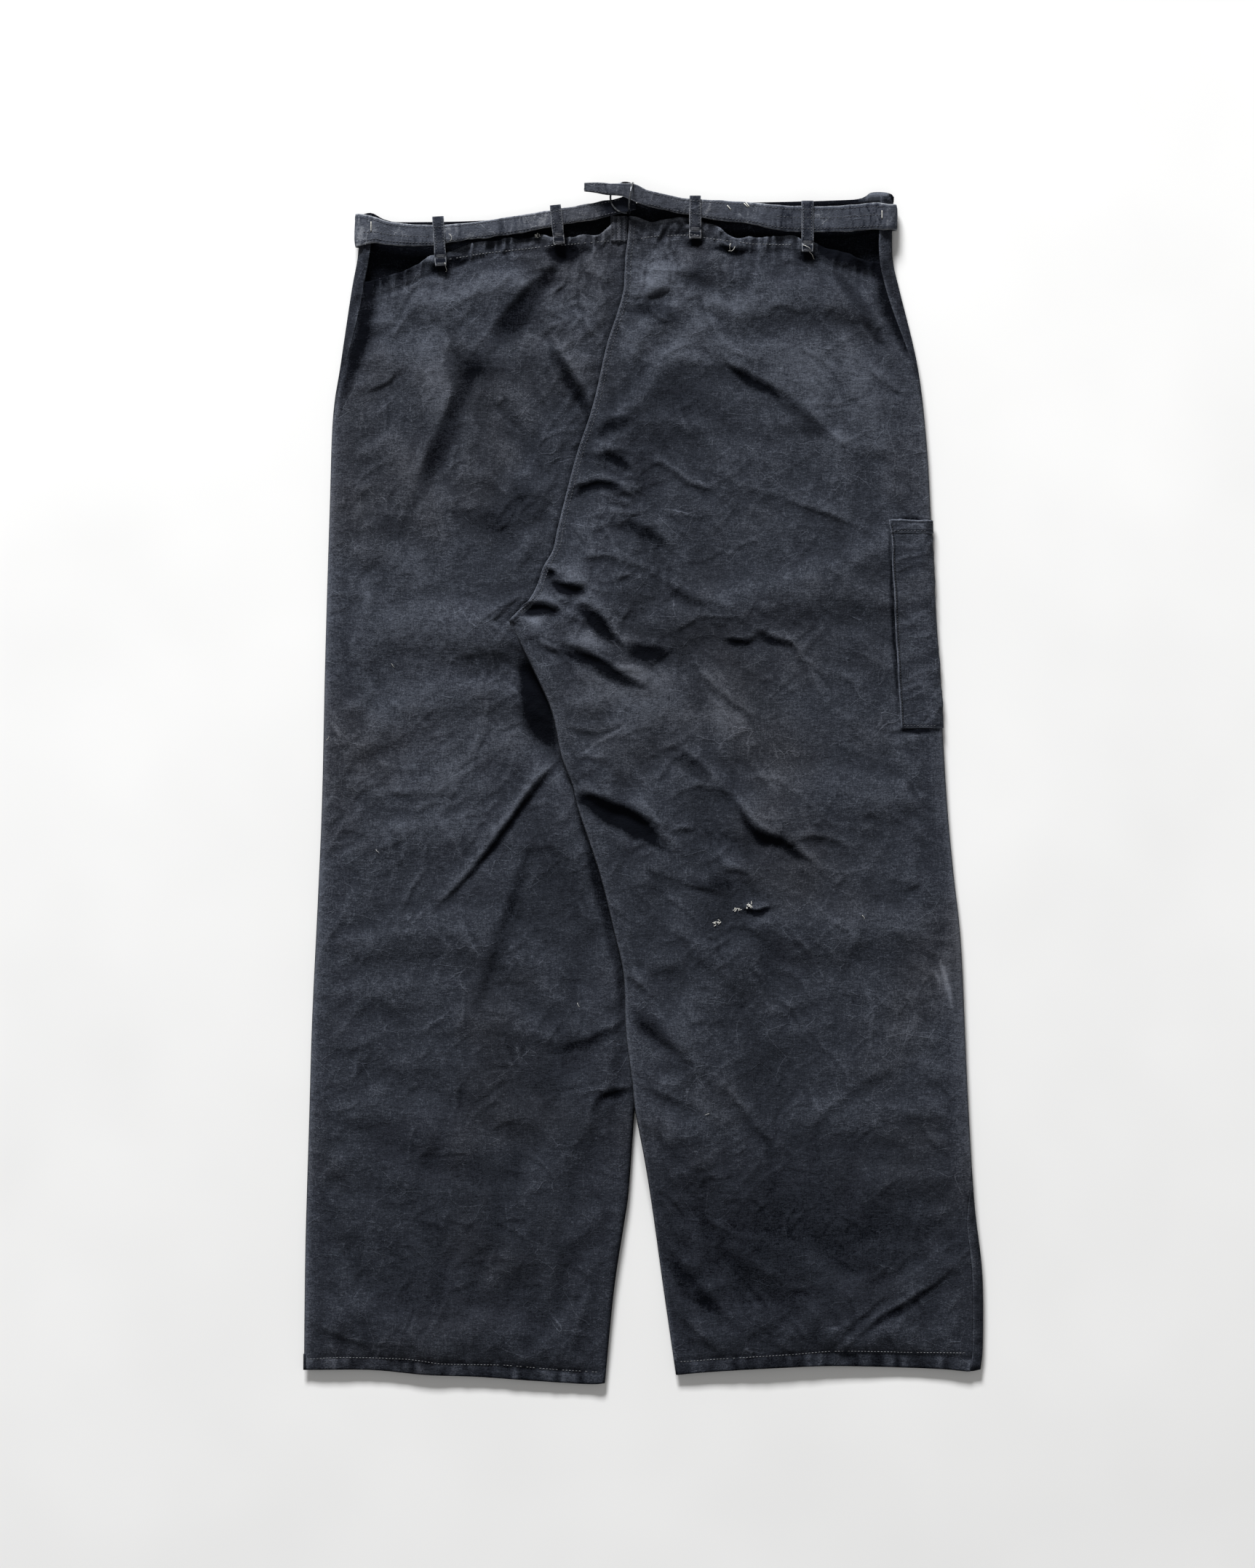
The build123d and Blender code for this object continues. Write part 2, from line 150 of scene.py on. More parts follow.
def ease(t):
    t = np.clip(t, 0, 1)
    return t * t * (3 - 2 * t)


def noise(x, y, size, seed):
    """Smooth random hills of this size, from -1 to 1."""
    table = np.random.RandomState(SEED + seed).uniform(-1, 1, (128, 128))
    u = x / size + 37.1 * seed
    v = y / size + 17.7 * seed
    i = np.floor(u).astype(int)
    j = np.floor(v).astype(int)
    a = ease(u - i)
    b = ease(v - j)
    i0, i1, j0, j1 = i % 128, (i + 1) % 128, j % 128, (j + 1) % 128
    low = table[i0, j0] * (1 - a) + table[i1, j0] * a
    high = table[i0, j1] * (1 - a) + table[i1, j1] * a
    return low * (1 - b) + high * b


def ridges(x, y, angle, long, wide, seed):
    """Wrinkles that run one way, from 0 to 1, sharpest along their tops."""
    c, s = math.cos(math.radians(angle)), math.sin(math.radians(angle))
    bent = 0.45 * wide * noise(x, y, wide * 2.2, seed + 7)
    u = x * c + y * s
    v = y * c - x * s + bent
    return (1 - np.abs(noise(u * wide / long, v, wide, seed))) ** 2.5


def patch(x, y, size, seed):
    """Where one kind of wrinkle shows, from 0 to 1."""
    return ease(0.5 + 1.3 * noise(x, y, size, seed))


def crumple(x, y, lean, seed):
    """The dents that washed duck keeps, in mm. lean is the way most wrinkles run."""
    z = 0.8 * noise(x, y, 120, seed) + 0.6 * noise(x, y, 62, seed + 1)
    z += 0.8 * (ridges(x, y, lean, 150, 42, seed + 2) - 0.35)
    z += 0.75 * patch(x, y, 110, seed + 3) * (ridges(x, y, lean + 12, 70, 20, seed + 4) - 0.35)
    z += 0.6 * patch(x, y, 90, seed + 5) * (ridges(x, y, lean - 55, 60, 19, seed + 6) - 0.35)
    z += 0.5 * patch(x, y, 80, seed + 8) * (ridges(x, y, lean + 75, 48, 15, seed + 9) - 0.35)
    z += 0.3 * patch(x, y, 60, seed + 10) * (ridges(x, y, lean - 15, 26, 9, seed + 11) - 0.35)
    z += 0.22 * patch(x, y, 70, seed + 12) * (ridges(x, y, lean + 100, 20, 7.5, seed + 13) - 0.35)
    z += 0.20 * patch(x, y, 50, seed + 15) * (ridges(x, y, lean + 30, 14, 5.5, seed + 16) - 0.35)
    return z + 0.14 * noise(x, y, 6.0, seed + 14)


# ---- folds -----------------------------------------------------------------------


def near_line(x, y, points):
    """Signed distance to a smooth line, positive on the waist side, and the place along it."""
    line = smooth_line(points, 5)
    lengths = np.hypot(*np.diff(line, axis=0).T)
    start = np.concatenate([[0], np.cumsum(lengths)])
    best = np.full(x.shape, 1e9)
    signed = np.zeros(x.shape)
    place = np.zeros(x.shape)
    for (ax, ay), (bx, by), length, begin in zip(line[:-1], line[1:], lengths, start):
        tx, ty = (bx - ax) / length, (by - ay) / length
        along = np.clip((x - ax) * tx + (y - ay) * ty, 0, length)
        dx, dy = x - ax - along * tx, y - ay - along * ty
        distance = np.hypot(dx, dy)
        side = np.where(tx * dy - ty * dx >= 0, 1.0, -1.0) * (1.0 if tx >= 0 else -1.0)
        closer = distance < best
        best = np.where(closer, distance, best)
        signed = np.where(closer, side * distance, signed)
        place = np.where(closer, (begin + along) / start[-1], place)
    return signed, place


def step_fold(x, y, height, width, *points):
    """Cloth that bulges on the waist side of the line and drops sharply at it."""
    signed, place = near_line(x, y, points)
    taper = np.sin(np.pi * np.clip(place, 0.02, 0.98)) ** 0.6
    taper = taper * (0.85 + 0.35 * noise(x, y, 26, 71))
    v = (signed + 0.25 * width * noise(x, y, 3.2 * width, 72)) / width
    reach = np.where(v > 0, np.exp(-(v / 3.0) ** 2), 0.55 * np.exp(-(v / 2.0) ** 2))
    return 0.8 * height * taper * np.tanh(1.9 * v) * reach


def valley(x, y, depth, width, *points):
    signed, place = near_line(x, y, points)
    taper = np.sin(np.pi * np.clip(place, 0.02, 0.98)) ** 0.7
    return -depth * taper * np.exp(-(signed / width) ** 2)


# (height, width, points): each is one fold that the pose keeps, along the line where it drops
LEFT_FOLDS = [
    (4.4, 8, (-216, 250), (-200, 292), (-182, 335), (-170, 366), (-158, 388)),
    (4.2, 9, (-150, 400), (-132, 420), (-112, 444), (-92, 464), (-76, 478)),
    (3.0, 6, (-90, 418), (-78, 395), (-64, 374), (-53, 357), (-47, 338)),
    (1.8, 4, (-54, 468), (-44, 464), (-36, 460)),
    (1.8, 4, (-200, 456), (-190, 457), (-182, 455)),
    (1.6, 5, (-145, 276), (-122, 262), (-95, 262), (-74, 250)),
    (4.6, 3.2, (-74, 26), (-98, -1), (-118, -28), (-140, -57), (-165, -88), (-190, -114)),
    (1.4, 6, (-126, -66), (-105, -60), (-80, -60), (-62, -76)),
    (1.6, 7, (-122, -230), (-98, -236), (-75, -240)),
    (2.2, 5, (-80, -242), (-50, -232), (-30, -224), (-14, -214)),
    (2.2, 4, (-50, -302), (-40, -286), (-25, -280), (-6, -277)),
    (1.5, 7, (-94, -30), (-112, -78), (-124, -116), (-142, -170), (-160, -215), (-174, -252)),
    (2.0, 10, (-182, -306), (-205, -354), (-219, -392)),
    (2.4, 7, (-309, -490), (-282, -503), (-240, -524)),
    (1.8, 5, (-290, 62), (-281, 48), (-276, 32)),
    (1.3, 12, (-120, -380), (-85, -408), (-50, -415)),
    (1.2, 12, (-270, -180), (-235, -205), (-205, -205)),
]
RIGHT_FOLDS = [
    (3.2, 9, (-18, 432), (0, 445), (18, 448), (32, 440)),
    (4.4, 7, (64, 393), (78, 381), (104, 368), (126, 356), (146, 340), (170, 320)),
    (2.4, 7, (-46, 318), (-30, 330), (-10, 338), (4, 340)),
    (2.4, 6, (-52, 301), (-28, 300), (-10, 288)),
    (2.4, 3.5, (0, 298), (25, 287), (46, 273), (72, 267)),
    (3.0, 5, (-70, 262), (-50, 275), (-28, 274), (-12, 264)),
    (2.2, 5, (-22, 264), (-5, 268), (6, 276)),
    (2.2, 4, (126, 263), (146, 254), (168, 247), (192, 236)),
    (2.6, 7, (-30, 242), (-8, 238), (12, 227), (27, 213)),
    (2.8, 4, (60, 491), (70, 492), (84, 488), (98, 490)),
    (1.8, 9, (150, 484), (166, 470), (182, 454)),
    (1.8, 10, (184, 452), (196, 424), (214, 405), (228, 388)),
    (1.6, 4, (114, 434), (125, 436), (137, 433)),
    (4.0, 4, (-94, 200), (-84, 194), (-72, 190)),
    (5.5, 5, (-84, 188), (-70, 182), (-50, 178)),
    (5.5, 5, (-115, 158), (-103, 164), (-90, 163), (-72, 156)),
    (5.5, 6, (-64, 165), (-50, 161), (-38, 148), (-24, 133)),
    (3.2, 8, (-24, 132), (-6, 124), (14, 121), (30, 126)),
    (2.8, 4, (-98, 130), (-86, 123), (-74, 120)),
    (6.0, 6, (-78, 130), (-58, 122), (-36, 109), (-15, 97), (6, 87)),
    (2.2, 4, (-58, 204), (-36, 207), (-18, 203)),
    (1.8, 4, (-18, 202), (-6, 198), (4, 194)),
    (2.4, 6, (18, 184), (30, 178), (44, 168), (64, 164)),
    (3.4, 4, (72, 135), (84, 132), (98, 132)),
    (3.2, 4, (98, 133), (106, 139), (120, 133), (132, 130), (144, 117), (154, 100)),
    (2.0, 4, (46, 106), (60, 92), (76, 78), (90, 68), (106, 61)),
    (2.0, 4, (-72, 54), (-58, 49), (-40, 47), (-26, 52)),
    (1.8, 4, (-62, 20), (-50, 24), (-34, 19)),
    (3.0, 7, (14, 28), (30, 33), (46, 25), (60, 9), (72, -5)),
    (4.8, 6, (64, -6), (80, -12), (90, -26), (102, -42), (122, -51), (140, -60), (158, -76)),
    (2.6, 6, (140, -54), (158, -49), (176, -52), (192, -64)),
    (8.0, 7, (-64, -8), (-44, -13), (-18, -24), (4, -34), (18, -46)),
    (3.2, 4, (4, -36), (18, -50), (27, -64)),
    (2.8, 4, (22, -43), (34, -42), (46, -44)),
    (2.2, 4, (16, -82), (30, -88), (48, -94), (66, -99), (84, -104)),
    (3.2, 5, (64, -86), (80, -79), (94, -81), (102, -92)),
    (4.2, 3, (90, -113), (104, -116), (118, -112)),
    (2.4, 8, (2, -116), (26, -134), (46, -152), (62, -168), (86, -188), (102, -198)),
    (2.4, 4, (-20, -168), (-8, -181), (6, -191)),
    (3.4, 8, (-14, -198), (0, -216), (14, -230), (36, -246), (56, -266)),
    (2.0, 5, (-2, -274), (28, -288), (62, -303)),
    (2.4, 6, (56, -270), (78, -284), (100, -310), (124, -338)),
    (2.0, 6, (-2, -306), (14, -322), (28, -336)),
    (1.8, 7, (98, -206), (120, -212), (142, -205), (164, -198)),
    (1.8, 8, (150, -342), (158, -308), (182, -290), (206, -275), (250, -254)),
    (2.0, 9, (12, -412), (30, -436), (52, -462), (88, -492)),
    (2.4, 7, (22, -470), (36, -491), (52, -508), (74, -524)),
    (2.4, 4, (292, -434), (274, -451), (248, -470), (222, -484), (204, -499), (188, -514),
     (178, -526)),
    (1.8, 4, (246, -462), (222, -470), (204, -484), (186, -500), (166, -522)),
    (1.6, 7, (206, -118), (194, -146), (178, -178)),
    (1.4, 5, (176, -478), (180, -500), (164, -516)),
]

# (depth, width, points): hollows with no ridge beside them
LEFT_HOLLOWS = [
    (5.0, 14, (-128, 128), (-110, 112), (-98, 84), (-90, 45), (-78, 5)),
    (2.2, 9, (-84, 486), (-72, 484), (-56, 488)),
    (1.6, 5, (-182, 478), (-168, 478), (-158, 481)),
    (2.5, 8, (-60, -20), (-50, -55), (-40, -95), (-30, -130)),
]
RIGHT_HOLLOWS = [
    (1.4, 16, (0, 350), (30, 362), (66, 350)),
    (2.2, 8, (222, 470), (228, 440), (238, 410), (247, 385)),
]

# (amount, width, points): lines of painted shade, as beside a deep crease, a raised edge or the
# pocket, or paler lines where the amount is below zero
LEFT_SHADE_LINES = [
    (1.2, 12, (-74, 476), (-96, 454), (-112, 430), (-134, 404), (-148, 390)),
    (1.1, 9, (-146, 386), (-162, 362), (-176, 330), (-193, 290), (-210, 250)),
    (1.4, 6, (-86, 404), (-77, 384), (-65, 364), (-54, 346), (-48, 330)),
    (-1.0, 1.6, (-290, 58), (-281, 52), (-276, 40)),
    (-1.0, 1.4, (-284, 44), (-277, 34)),
    (1.8, 7, (-247, 478), (-251, 445), (-257, 412), (-267, 376), (-277, 340)),
    (2.6, 15, (-112, 116), (-98, 92), (-90, 60), (-82, 30)),
    (1.2, 6, (-62, -10), (-50, -50), (-40, -95), (-29, -134), (-20, -178), (-18, -215)),
    (1.2, 3.0, (-80, 13), (-100, -8), (-121, -36), (-143, -66), (-168, -96)),
    (0.6, 8, (-100, -50), (-114, -90), (-126, -124), (-146, -180), (-164, -224)),
    (1.5, 6, (-84, 484), (-72, 484), (-56, 488)),
    (1.2, 4, (-182, 478), (-168, 478), (-158, 481)),
    (0.8, 5, (-78, -245), (-50, -235), (-30, -227), (-16, -218)),
    (0.8, 5, (-48, -304), (-38, -289), (-25, -284), (-8, -281)),
    (0.8, 14, (-180, 250), (-150, 240), (-110, 250), (-85, 240)),
]
RIGHT_SHADE_LINES = [
    (3.4, 10, (-62, -14), (-38, -22), (-14, -34), (4, -44), (18, -56)),
    (2.4, 5, (-84, 184), (-66, 177), (-51, 176)),
    (2.0, 4, (-93, 196), (-80, 190)),
    (2.6, 5, (-112, 155), (-96, 159), (-78, 155)),
    (2.4, 6, (-58, 158), (-42, 149), (-30, 135), (-18, 127)),
    (1.6, 9, (-18, 126), (0, 117), (26, 119)),
    (2.2, 6, (-74, 122), (-50, 113), (-30, 102), (-8, 90), (5, 85)),
    (1.5, 3.5, (75, 131), (98, 129)),
    (1.3, 3.5, (104, 136), (118, 130), (132, 127)),
    (1.5, 6, (84, -16), (94, -32), (108, -47), (128, -56), (152, -72)),
    (0.8, 8, (22, 24), (44, 18), (62, 0)),
    (3.0, 2.8, (92, -115), (104, -118), (117, -114)),
    (1.5, 5, (76, 384), (88, 374), (108, 363), (128, 351)),
    (-1.8, 2.0, (270, -158), (276, -176), (283, -208)),
    (-1.2, 1.6, (266, -170), (272, -184)),
    (-0.8, 1.6, (-60, 22), (-45, 35), (-22, 50), (-10, 60)),
    (0.8, 8, (128, 350), (150, 332), (172, 314)),
    (1.1, 9, (-12, 432), (10, 434), (36, 422)),
    (2.4, 3, (62, 489), (72, 490), (84, 486), (97, 488)),
    (1.8, 8, (216, 480), (222, 450), (233, 416), (244, 388)),
    (0.9, 6, (172, 474), (188, 452), (203, 428), (222, 398)),
    (1.1, 6, (-44, 315), (-28, 327), (-8, 335)),
    (1.0, 5, (-50, 298), (-26, 297), (-8, 285)),
    (1.3, 4, (-68, 260), (-48, 272), (-26, 271), (-10, 262)),
    (0.9, 7, (-26, 239), (-4, 234), (24, 214)),
    (0.9, 8, (-10, -202), (6, -220), (28, -242)),
    (0.8, 6, (20, 180), (34, 174), (60, 162)),
    (0.9, 5, (40, -86), (62, -94), (90, -92)),
    (0.7, 3.5, (270, -456), (246, -475), (220, -489), (200, -505)),
    (0.7, 8, (20, -430), (46, -460), (76, -488)),
    (1.6, 2.0, (223.6, 245), (226, 205), (229, 145), (232, 90), (234.4, 49)),
    (2.4, 2.0, (232, 48.6), (250, 48.4), (272, 48.6)),
    (1.2, 1.8, (222, 243), (240, 242.6), (264, 242)),
]

# (x, y, reach across, reach along, lean, count): where washing left small sharp creases
LEFT_CREASES = [
    (-150, 440, 50, 26, 45, 16), (-70, 420, 26, 40, -60, 14), (-110, 290, 60, 60, 32, 20),
    (-200, 110, 50, 100, 15, 16), (-140, 60, 40, 60, 40, 12), (-130, -70, 70, 60, 50, 30),
    (-110, -250, 80, 70, 18, 24), (-150, -430, 90, 50, -20, 14), (-60, 470, 24, 14, 0, 12),
    (-250, -120, 30, 120, 30, 14), (-230, 330, 30, 80, 60, 10), (-150, 250, 80, 110, 35, 40),
    (-150, 0, 80, 110, 30, 50), (-150, -250, 80, 120, 20, 50), (-150, -440, 90, 60, -25, 30),
    (-110, 494, 60, 5, 65, 46), (-44, 500, 16, 6, 60, 14), (-60, 440, 30, 40, 50, 30),
]
RIGHT_CREASES = [
    (12, 460, 28, 20, -30, 14), (90, 400, 60, 40, -30, 18), (150, 300, 60, 60, -38, 14),
    (-20, 280, 34, 40, 10, 20), (-30, 220, 40, 40, -35, 22), (-20, 120, 54, 34, -30, 24),
    (100, 120, 50, 40, -30, 18), (-20, 35, 46, 30, 30, 20), (50, -60, 60, 40, -35, 30),
    (80, -180, 60, 50, -42, 26), (40, -320, 60, 60, -35, 18), (90, -430, 80, 60, -42, 18),
    (210, -200, 50, 90, -30, 14), (250, -470, 30, 40, -40, 10), (60, 480, 60, 14, 0, 12),
    (-30, 250, 30, 70, -20, 50), (-50, 150, 34, 34, -30, 26), (120, 240, 80, 120, -35, 50),
    (110, -20, 80, 100, -35, 50), (130, -280, 90, 110, -35, 60), (160, -470, 90, 50, -40, 30),
    (30, 506, 34, 5, 62, 34), (115, 494, 40, 5, 65, 34), (10, 470, 26, 20, 20, 30),
]


def creases(x, y, places, seed):
    """Small sharp folds scattered over the listed places."""
    random = np.random.RandomState(SEED + seed)
    total = np.zeros(x.shape)
    for cx, cy, across, high, lean, count in places:
        for _ in range(count):
            px, py = cx + across * random.normal(), cy + high * random.normal()
            angle = math.radians(lean + 18 * random.normal() + 75 * (random.uniform() < 0.35))
            length, width = random.uniform(5, 20), random.uniform(1.2, 2.3)
            height, bend = random.uniform(0.2, 0.6), random.uniform(-0.3, 0.3)
            near = (np.abs(x - px) < 2 * length) & (np.abs(y - py) < 2 * length)
            dx, dy = x[near] - px, y[near] - py
            u = dx * math.cos(angle) + dy * math.sin(angle)
            v = dy * math.cos(angle) - dx * math.sin(angle) - bend * u * u / length
            fade = np.exp(-(u / length) ** 4) * np.exp(-(v / (2.6 * width)) ** 2)
            total[near] += height * np.tanh(1.4 * v / width) * fade
    return total


def folds(x, y, listed, hollows):
    total = np.zeros(x.shape)
    for height, width, *points in listed:
        total += step_fold(x, y, height, width, *points)
    for depth, width, *points in hollows:
        total += valley(x, y, depth, width, *points)
    return total


def painted_line_shade(x, y, listed):
    """Painted shade along the listed lines, or paler tone where the amount is below zero, with
    ragged edges.
    """
    total = np.zeros(x.shape)
    for amount, width, *points in listed:
        signed, place = near_line(x, y, points)
        ends = np.sin(np.pi * np.clip(place, 0.02, 0.98)) ** 0.6
        off = np.abs(signed + 0.35 * width * noise(x, y, 2.0 * width + 2, 73))
        total -= amount * ends * np.exp(-(off / (1.05 * width * ends + 0.01)) ** 3)
    return total


# ---- heights of the cloth --------------------------------------------------------


def roll(distance, reach):
    """From 0 at an edge to 1 inside it, round like a folded edge."""
    t = 1 - np.clip(distance / reach, 0, 1)
    return np.sqrt(np.clip(1 - t * t, 0, 1))


def right_lift(x, y):
    """The rise of the right leg where it lies on the left one."""
    inside = x - right_inner(np.minimum(y, CROTCH_Y))
    across = 1 - ease((inside - 55) / 95)
    return LEG_LIFT * across * ease((290 - y) / 190) * ease((y + 450) / 150)


def left_rise(x, y):
    """The left seat climbs to meet the lifted half at the seam."""
    beside = seat_line(np.maximum(y, CROTCH_Y)) - x
    near_seam = np.exp(-(np.clip(beside, 0, None) / 55) ** 2)
    return (LEG_LIFT - 1.5) * near_seam * ease((290 - y) / 190) * ease((y - 92) / 60)


def seam_dip(distance, width=5.0, depth=1.2):
    return -depth * np.exp(-(distance / width) ** 2)


def puckers(along, distance, pitch, height, reach):
    """Small ripples square to a line of stitches, fading away from it."""
    wave = np.sin(2 * np.pi * (along / pitch + 0.9 * noise(along, distance * 0, 31, 21)))
    return height * wave * np.exp(-np.abs(distance) / reach)


def end_fall(y, hem_y):
    """The legs lie flatter towards their open ends."""
    return 5.2 * np.exp(-np.clip(y - hem_y, 0, None) / 32.0)


def gathers(x, y, edge_y):
    """The back waist is gathered on its casing, so it ripples from the edge down."""
    below = np.clip(edge_y - y, 0, None)
    wave = noise(x, y * 0.35, 17, 31) + 0.6 * noise(x, y * 0.5, 8, 32)
    pleats = (1 - np.abs(noise(x, y * 0.22, 7.5, 35))) ** 2.5 - 0.35
    return 1.9 * wave * np.exp(-below / 15.0) + 3.8 * pleats * np.exp(-(below / 14) ** 2)


def waist_wear_and_shade(x, y, edge_y, shaded, amount, depth):
    """The back's waist edge is rubbed pale, and towards its side it gets painted shade, the shadow
    that lies in the gap under the belt.
    """
    below = np.clip(edge_y - y, 0, None)
    shade = ease((np.abs(x) - shaded) / 20)
    pale = 0.9 * (1 - shade) * np.exp(-(below / 1.6) ** 2)
    return pale - amount * shade * np.exp(-(below / depth) ** 2)


def left_base(x, y):
    z = BACK_Z + left_rise(x, y) - end_fall(y, left_hem(x))
    covered = ease((x - right_inner(y)) / 12) * (y < CROTCH_Y)
    return z - 1.8 * covered


def right_base(x, y):
    return BACK_Z + right_lift(x, y) - end_fall(y, right_hem(x))


def left_detail(x, y):
    z = crumple(x, y, 52, 100) + folds(x, y, LEFT_FOLDS, LEFT_HOLLOWS)
    z += creases(x, y, LEFT_CREASES, 300)
    covered = ease((x - right_inner(y) - 4) / 10) * (y < CROTCH_Y)
    z = z * (1 - 0.8 * covered) + gathers(x, y, back_waist_left(x))
    beside = seat_line(np.maximum(y, CROTCH_Y)) - x
    z += np.where(y > CROTCH_Y, seam_dip(beside) + puckers(y, beside, 15, 0.35, 10), 0)
    casing = y - back_waist_left(x) + 14
    hem = y - left_hem(x) - 11.5
    z += seam_dip(casing, 2.6, 0.9) + puckers(x, casing, 12, 0.35, 7)
    return z + seam_dip(hem, 2.4, 0.7) + puckers(x, hem, 15, 0.3, 7)


def right_detail(x, y):
    z = crumple(x, y, -38, 140) + folds(x, y, RIGHT_FOLDS, RIGHT_HOLLOWS)
    z += creases(x, y, RIGHT_CREASES, 320)
    z += gathers(x, y, back_waist_right(x))
    beside = x - seat_line(np.maximum(y, CROTCH_Y))
    z += np.where(y > CROTCH_Y, 0.5 * np.exp(-(beside / 9) ** 2)
                  + puckers(y, beside, 13, 0.35, 10), 0)
    casing = y - back_waist_right(x) + 13.5
    hem = y - right_hem(x) - 12.5
    z += seam_dip(casing, 2.6, 0.9) + puckers(x, casing, 11, 0.35, 7)
    return z + seam_dip(hem, 2.4, 0.7) + puckers(x, hem, 14, 0.3, 7)


def front_height(x, y, lift):
    """The front cloth lies on the floor, or on the left thigh."""
    return FRONT_Z + 0.4 * np.abs(noise(x, y, 60, 41)) + lift


def waist_rise(x, y, waist):
    """The front's waist edge stands up against the belt."""
    return 9.5 * ease((y - waist(x) + 20) / 20) + 0.5 * noise(x, y * 0.2, 15, 43)


# ---- meshes ----------------------------------------------------------------------


def blur(grid, passes):
    for _ in range(passes):
        g = np.pad(grid, 1, mode="edge")
        grid = (g[:-2, 1:-1] + g[2:, 1:-1] + g[1:-1, :-2] + g[1:-1, 2:] + 4 * grid) / 8
    return grid


def link(mesh_name, points, faces, material, smooth=True):
    mesh = bpy.data.meshes.new(mesh_name)
    mesh.from_pydata((np.asarray(points, float) * MM).tolist(), [], faces)
    mesh.polygons.foreach_set("use_smooth", [smooth] * len(mesh.polygons))
    mesh.materials.append(material)
    mesh.update()
    piece = bpy.data.objects.new(mesh_name, mesh)
    bpy.context.scene.collection.objects.link(piece)
    return piece


def quads(rows, cols, ring=False):
    r, c = np.meshgrid(np.arange(rows - 1), np.arange(cols if ring else cols - 1), indexing="ij")
    c1 = (c + 1) % cols
    corners = (r * cols + c, r * cols + c1, (r + 1) * cols + c1, (r + 1) * cols + c)
    return np.stack([k.ravel() for k in corners], 1)


def point_normals(points, faces):
    a, b, c, d = (points[faces[:, k]] for k in range(4))
    face_normal = np.cross(c - a, d - b)
    total = np.zeros(points.shape)
    for k in range(4):
        np.add.at(total, faces[:, k], face_normal)
    return total / np.maximum(np.linalg.norm(total, axis=1, keepdims=True), 1e-9)


def rim_edges(faces):
    """The edges that only one face has."""
    a, b = faces.ravel(), np.roll(faces, -1, 1).ravel()
    key = np.minimum(a, b) * (faces.max() + 1) + np.maximum(a, b)
    _, first, count = np.unique(key, return_index=True, return_counts=True)
    lone = first[count == 1]
    return a[lone], b[lone]


def paint(piece, name, values):
    attribute = piece.data.attributes.new(name, "FLOAT", "POINT")
    attribute.data.foreach_set("value", np.asarray(values, np.float32).ravel())


def cloth_shell(name, outer, thick, material, wear=0.0, tone_and_shade=0.0, up=True, keep=None,
                inside=-0.7):
    """A closed sheet: the grid outer, a copy of it thick further in, and a rim.
    up says whether the outer side faces up; keep drops the cells that are False; inside is the tone
    of the inner side, darkened as painted shade where it is below zero."""
    rows, cols = outer.shape[:2]
    faces = quads(rows, cols)
    if keep is not None:
        faces = faces[keep.ravel()]
    points = outer.reshape(-1, 3)
    used, faces = np.unique(faces, return_inverse=True)
    faces = faces.reshape(-1, 4)
    points = points[used]
    normal = point_normals(points, faces)
    if (normal[:, 2].sum() > 0) != up:
        faces = faces[:, ::-1]
        normal = -normal
    depth = np.broadcast_to(np.asarray(thick, float), (rows, cols)).ravel()[used]
    count = len(points)
    a, b = rim_edges(faces)
    rim = np.stack([b, a, a + count, b + count], 1)
    every = np.vstack([faces, faces[:, ::-1] + count, rim])
    inner = points - normal * depth[:, None]
    piece = link(name, np.vstack([points, inner]), every.tolist(), material)
    for label, *both in (("wear", wear, 0.0), ("tone_and_shade", tone_and_shade, inside)):
        sides = [np.broadcast_to(np.asarray(values, float), (rows, cols)).ravel()[used]
                 for values in both]
        paint(piece, label, np.concatenate(sides))
    return piece


def curvature_wear(z):
    """Where the surface stands proud of its surroundings: -1 to 1."""
    near = np.clip((z - blur(z, 6)) / 0.42, -1, 1)
    far = np.clip((z - blur(z, 70)) / 2.2, -1, 1)
    return np.clip(0.35 * near + 0.5 * far, -1, 1)


def tube_mesh(path, radius, sides=6, closed=False):
    """The points and faces of a round thread or wire along a path, in mm."""
    p = np.asarray(path, float)
    ahead = np.roll(p, -1, 0) - np.roll(p, 1, 0)
    if not closed:
        ahead[0] = p[1] - p[0]
        ahead[-1] = p[-1] - p[-2]
    ahead /= np.linalg.norm(ahead, axis=1, keepdims=True)
    right = np.cross(ahead, [0.31, 0.17, 1.0])
    right /= np.linalg.norm(right, axis=1, keepdims=True)
    above = np.cross(right, ahead)
    radii = np.broadcast_to(np.asarray(radius, float), (len(p),))[:, None]
    rings = [p + radii * (math.cos(a) * right + math.sin(a) * above)
             for a in np.linspace(0, 2 * math.pi, sides, endpoint=False)]
    points = np.stack(rings, 1).reshape(-1, 3)
    faces = quads(len(p), sides, ring=True)[:, ::-1].tolist()
    last = (len(p) - 1) * sides
    return points, faces + [list(range(sides)), [last + k for k in range(sides)][::-1]]


class Batch:
    """Many small shapes gathered into one piece."""

    def __init__(self):
        self.points = []
        self.faces = []
        self.count = 0

    def add(self, points, faces):
        self.points.append(points)
        self.faces += [[k + self.count for k in face] for face in faces]
        self.count += len(points)

    def link(self, name, material):
        return link(name, np.vstack(self.points), self.faces, material)


class Cover:
    """The cloth laid so far: finds its top at a place."""

    def __init__(self):
        self.trees = []

    def add(self, outer):
        faces = quads(*outer.shape[:2])
        self.trees.append(BVHTree.FromPolygons(outer.reshape(-1, 3).tolist(), faces.tolist()))

    def top(self, x, y, missing=BACK_Z):
        """Heights at these places, or missing where nothing lies."""
        x, y = np.broadcast_arrays(np.asarray(x, float), np.asarray(y, float))
        found = []
        for place in zip(x.ravel(), y.ravel()):
            hits = [tree.ray_cast(Vector((*place, 80.0)), Vector((0, 0, -1)))[0]
                    for tree in self.trees]
            heights = [hit.z for hit in hits if hit is not None]
            found.append(max(heights) if heights else missing)
        return np.array(found).reshape(x.shape)


# ---- materials -------------------------------------------------------------------


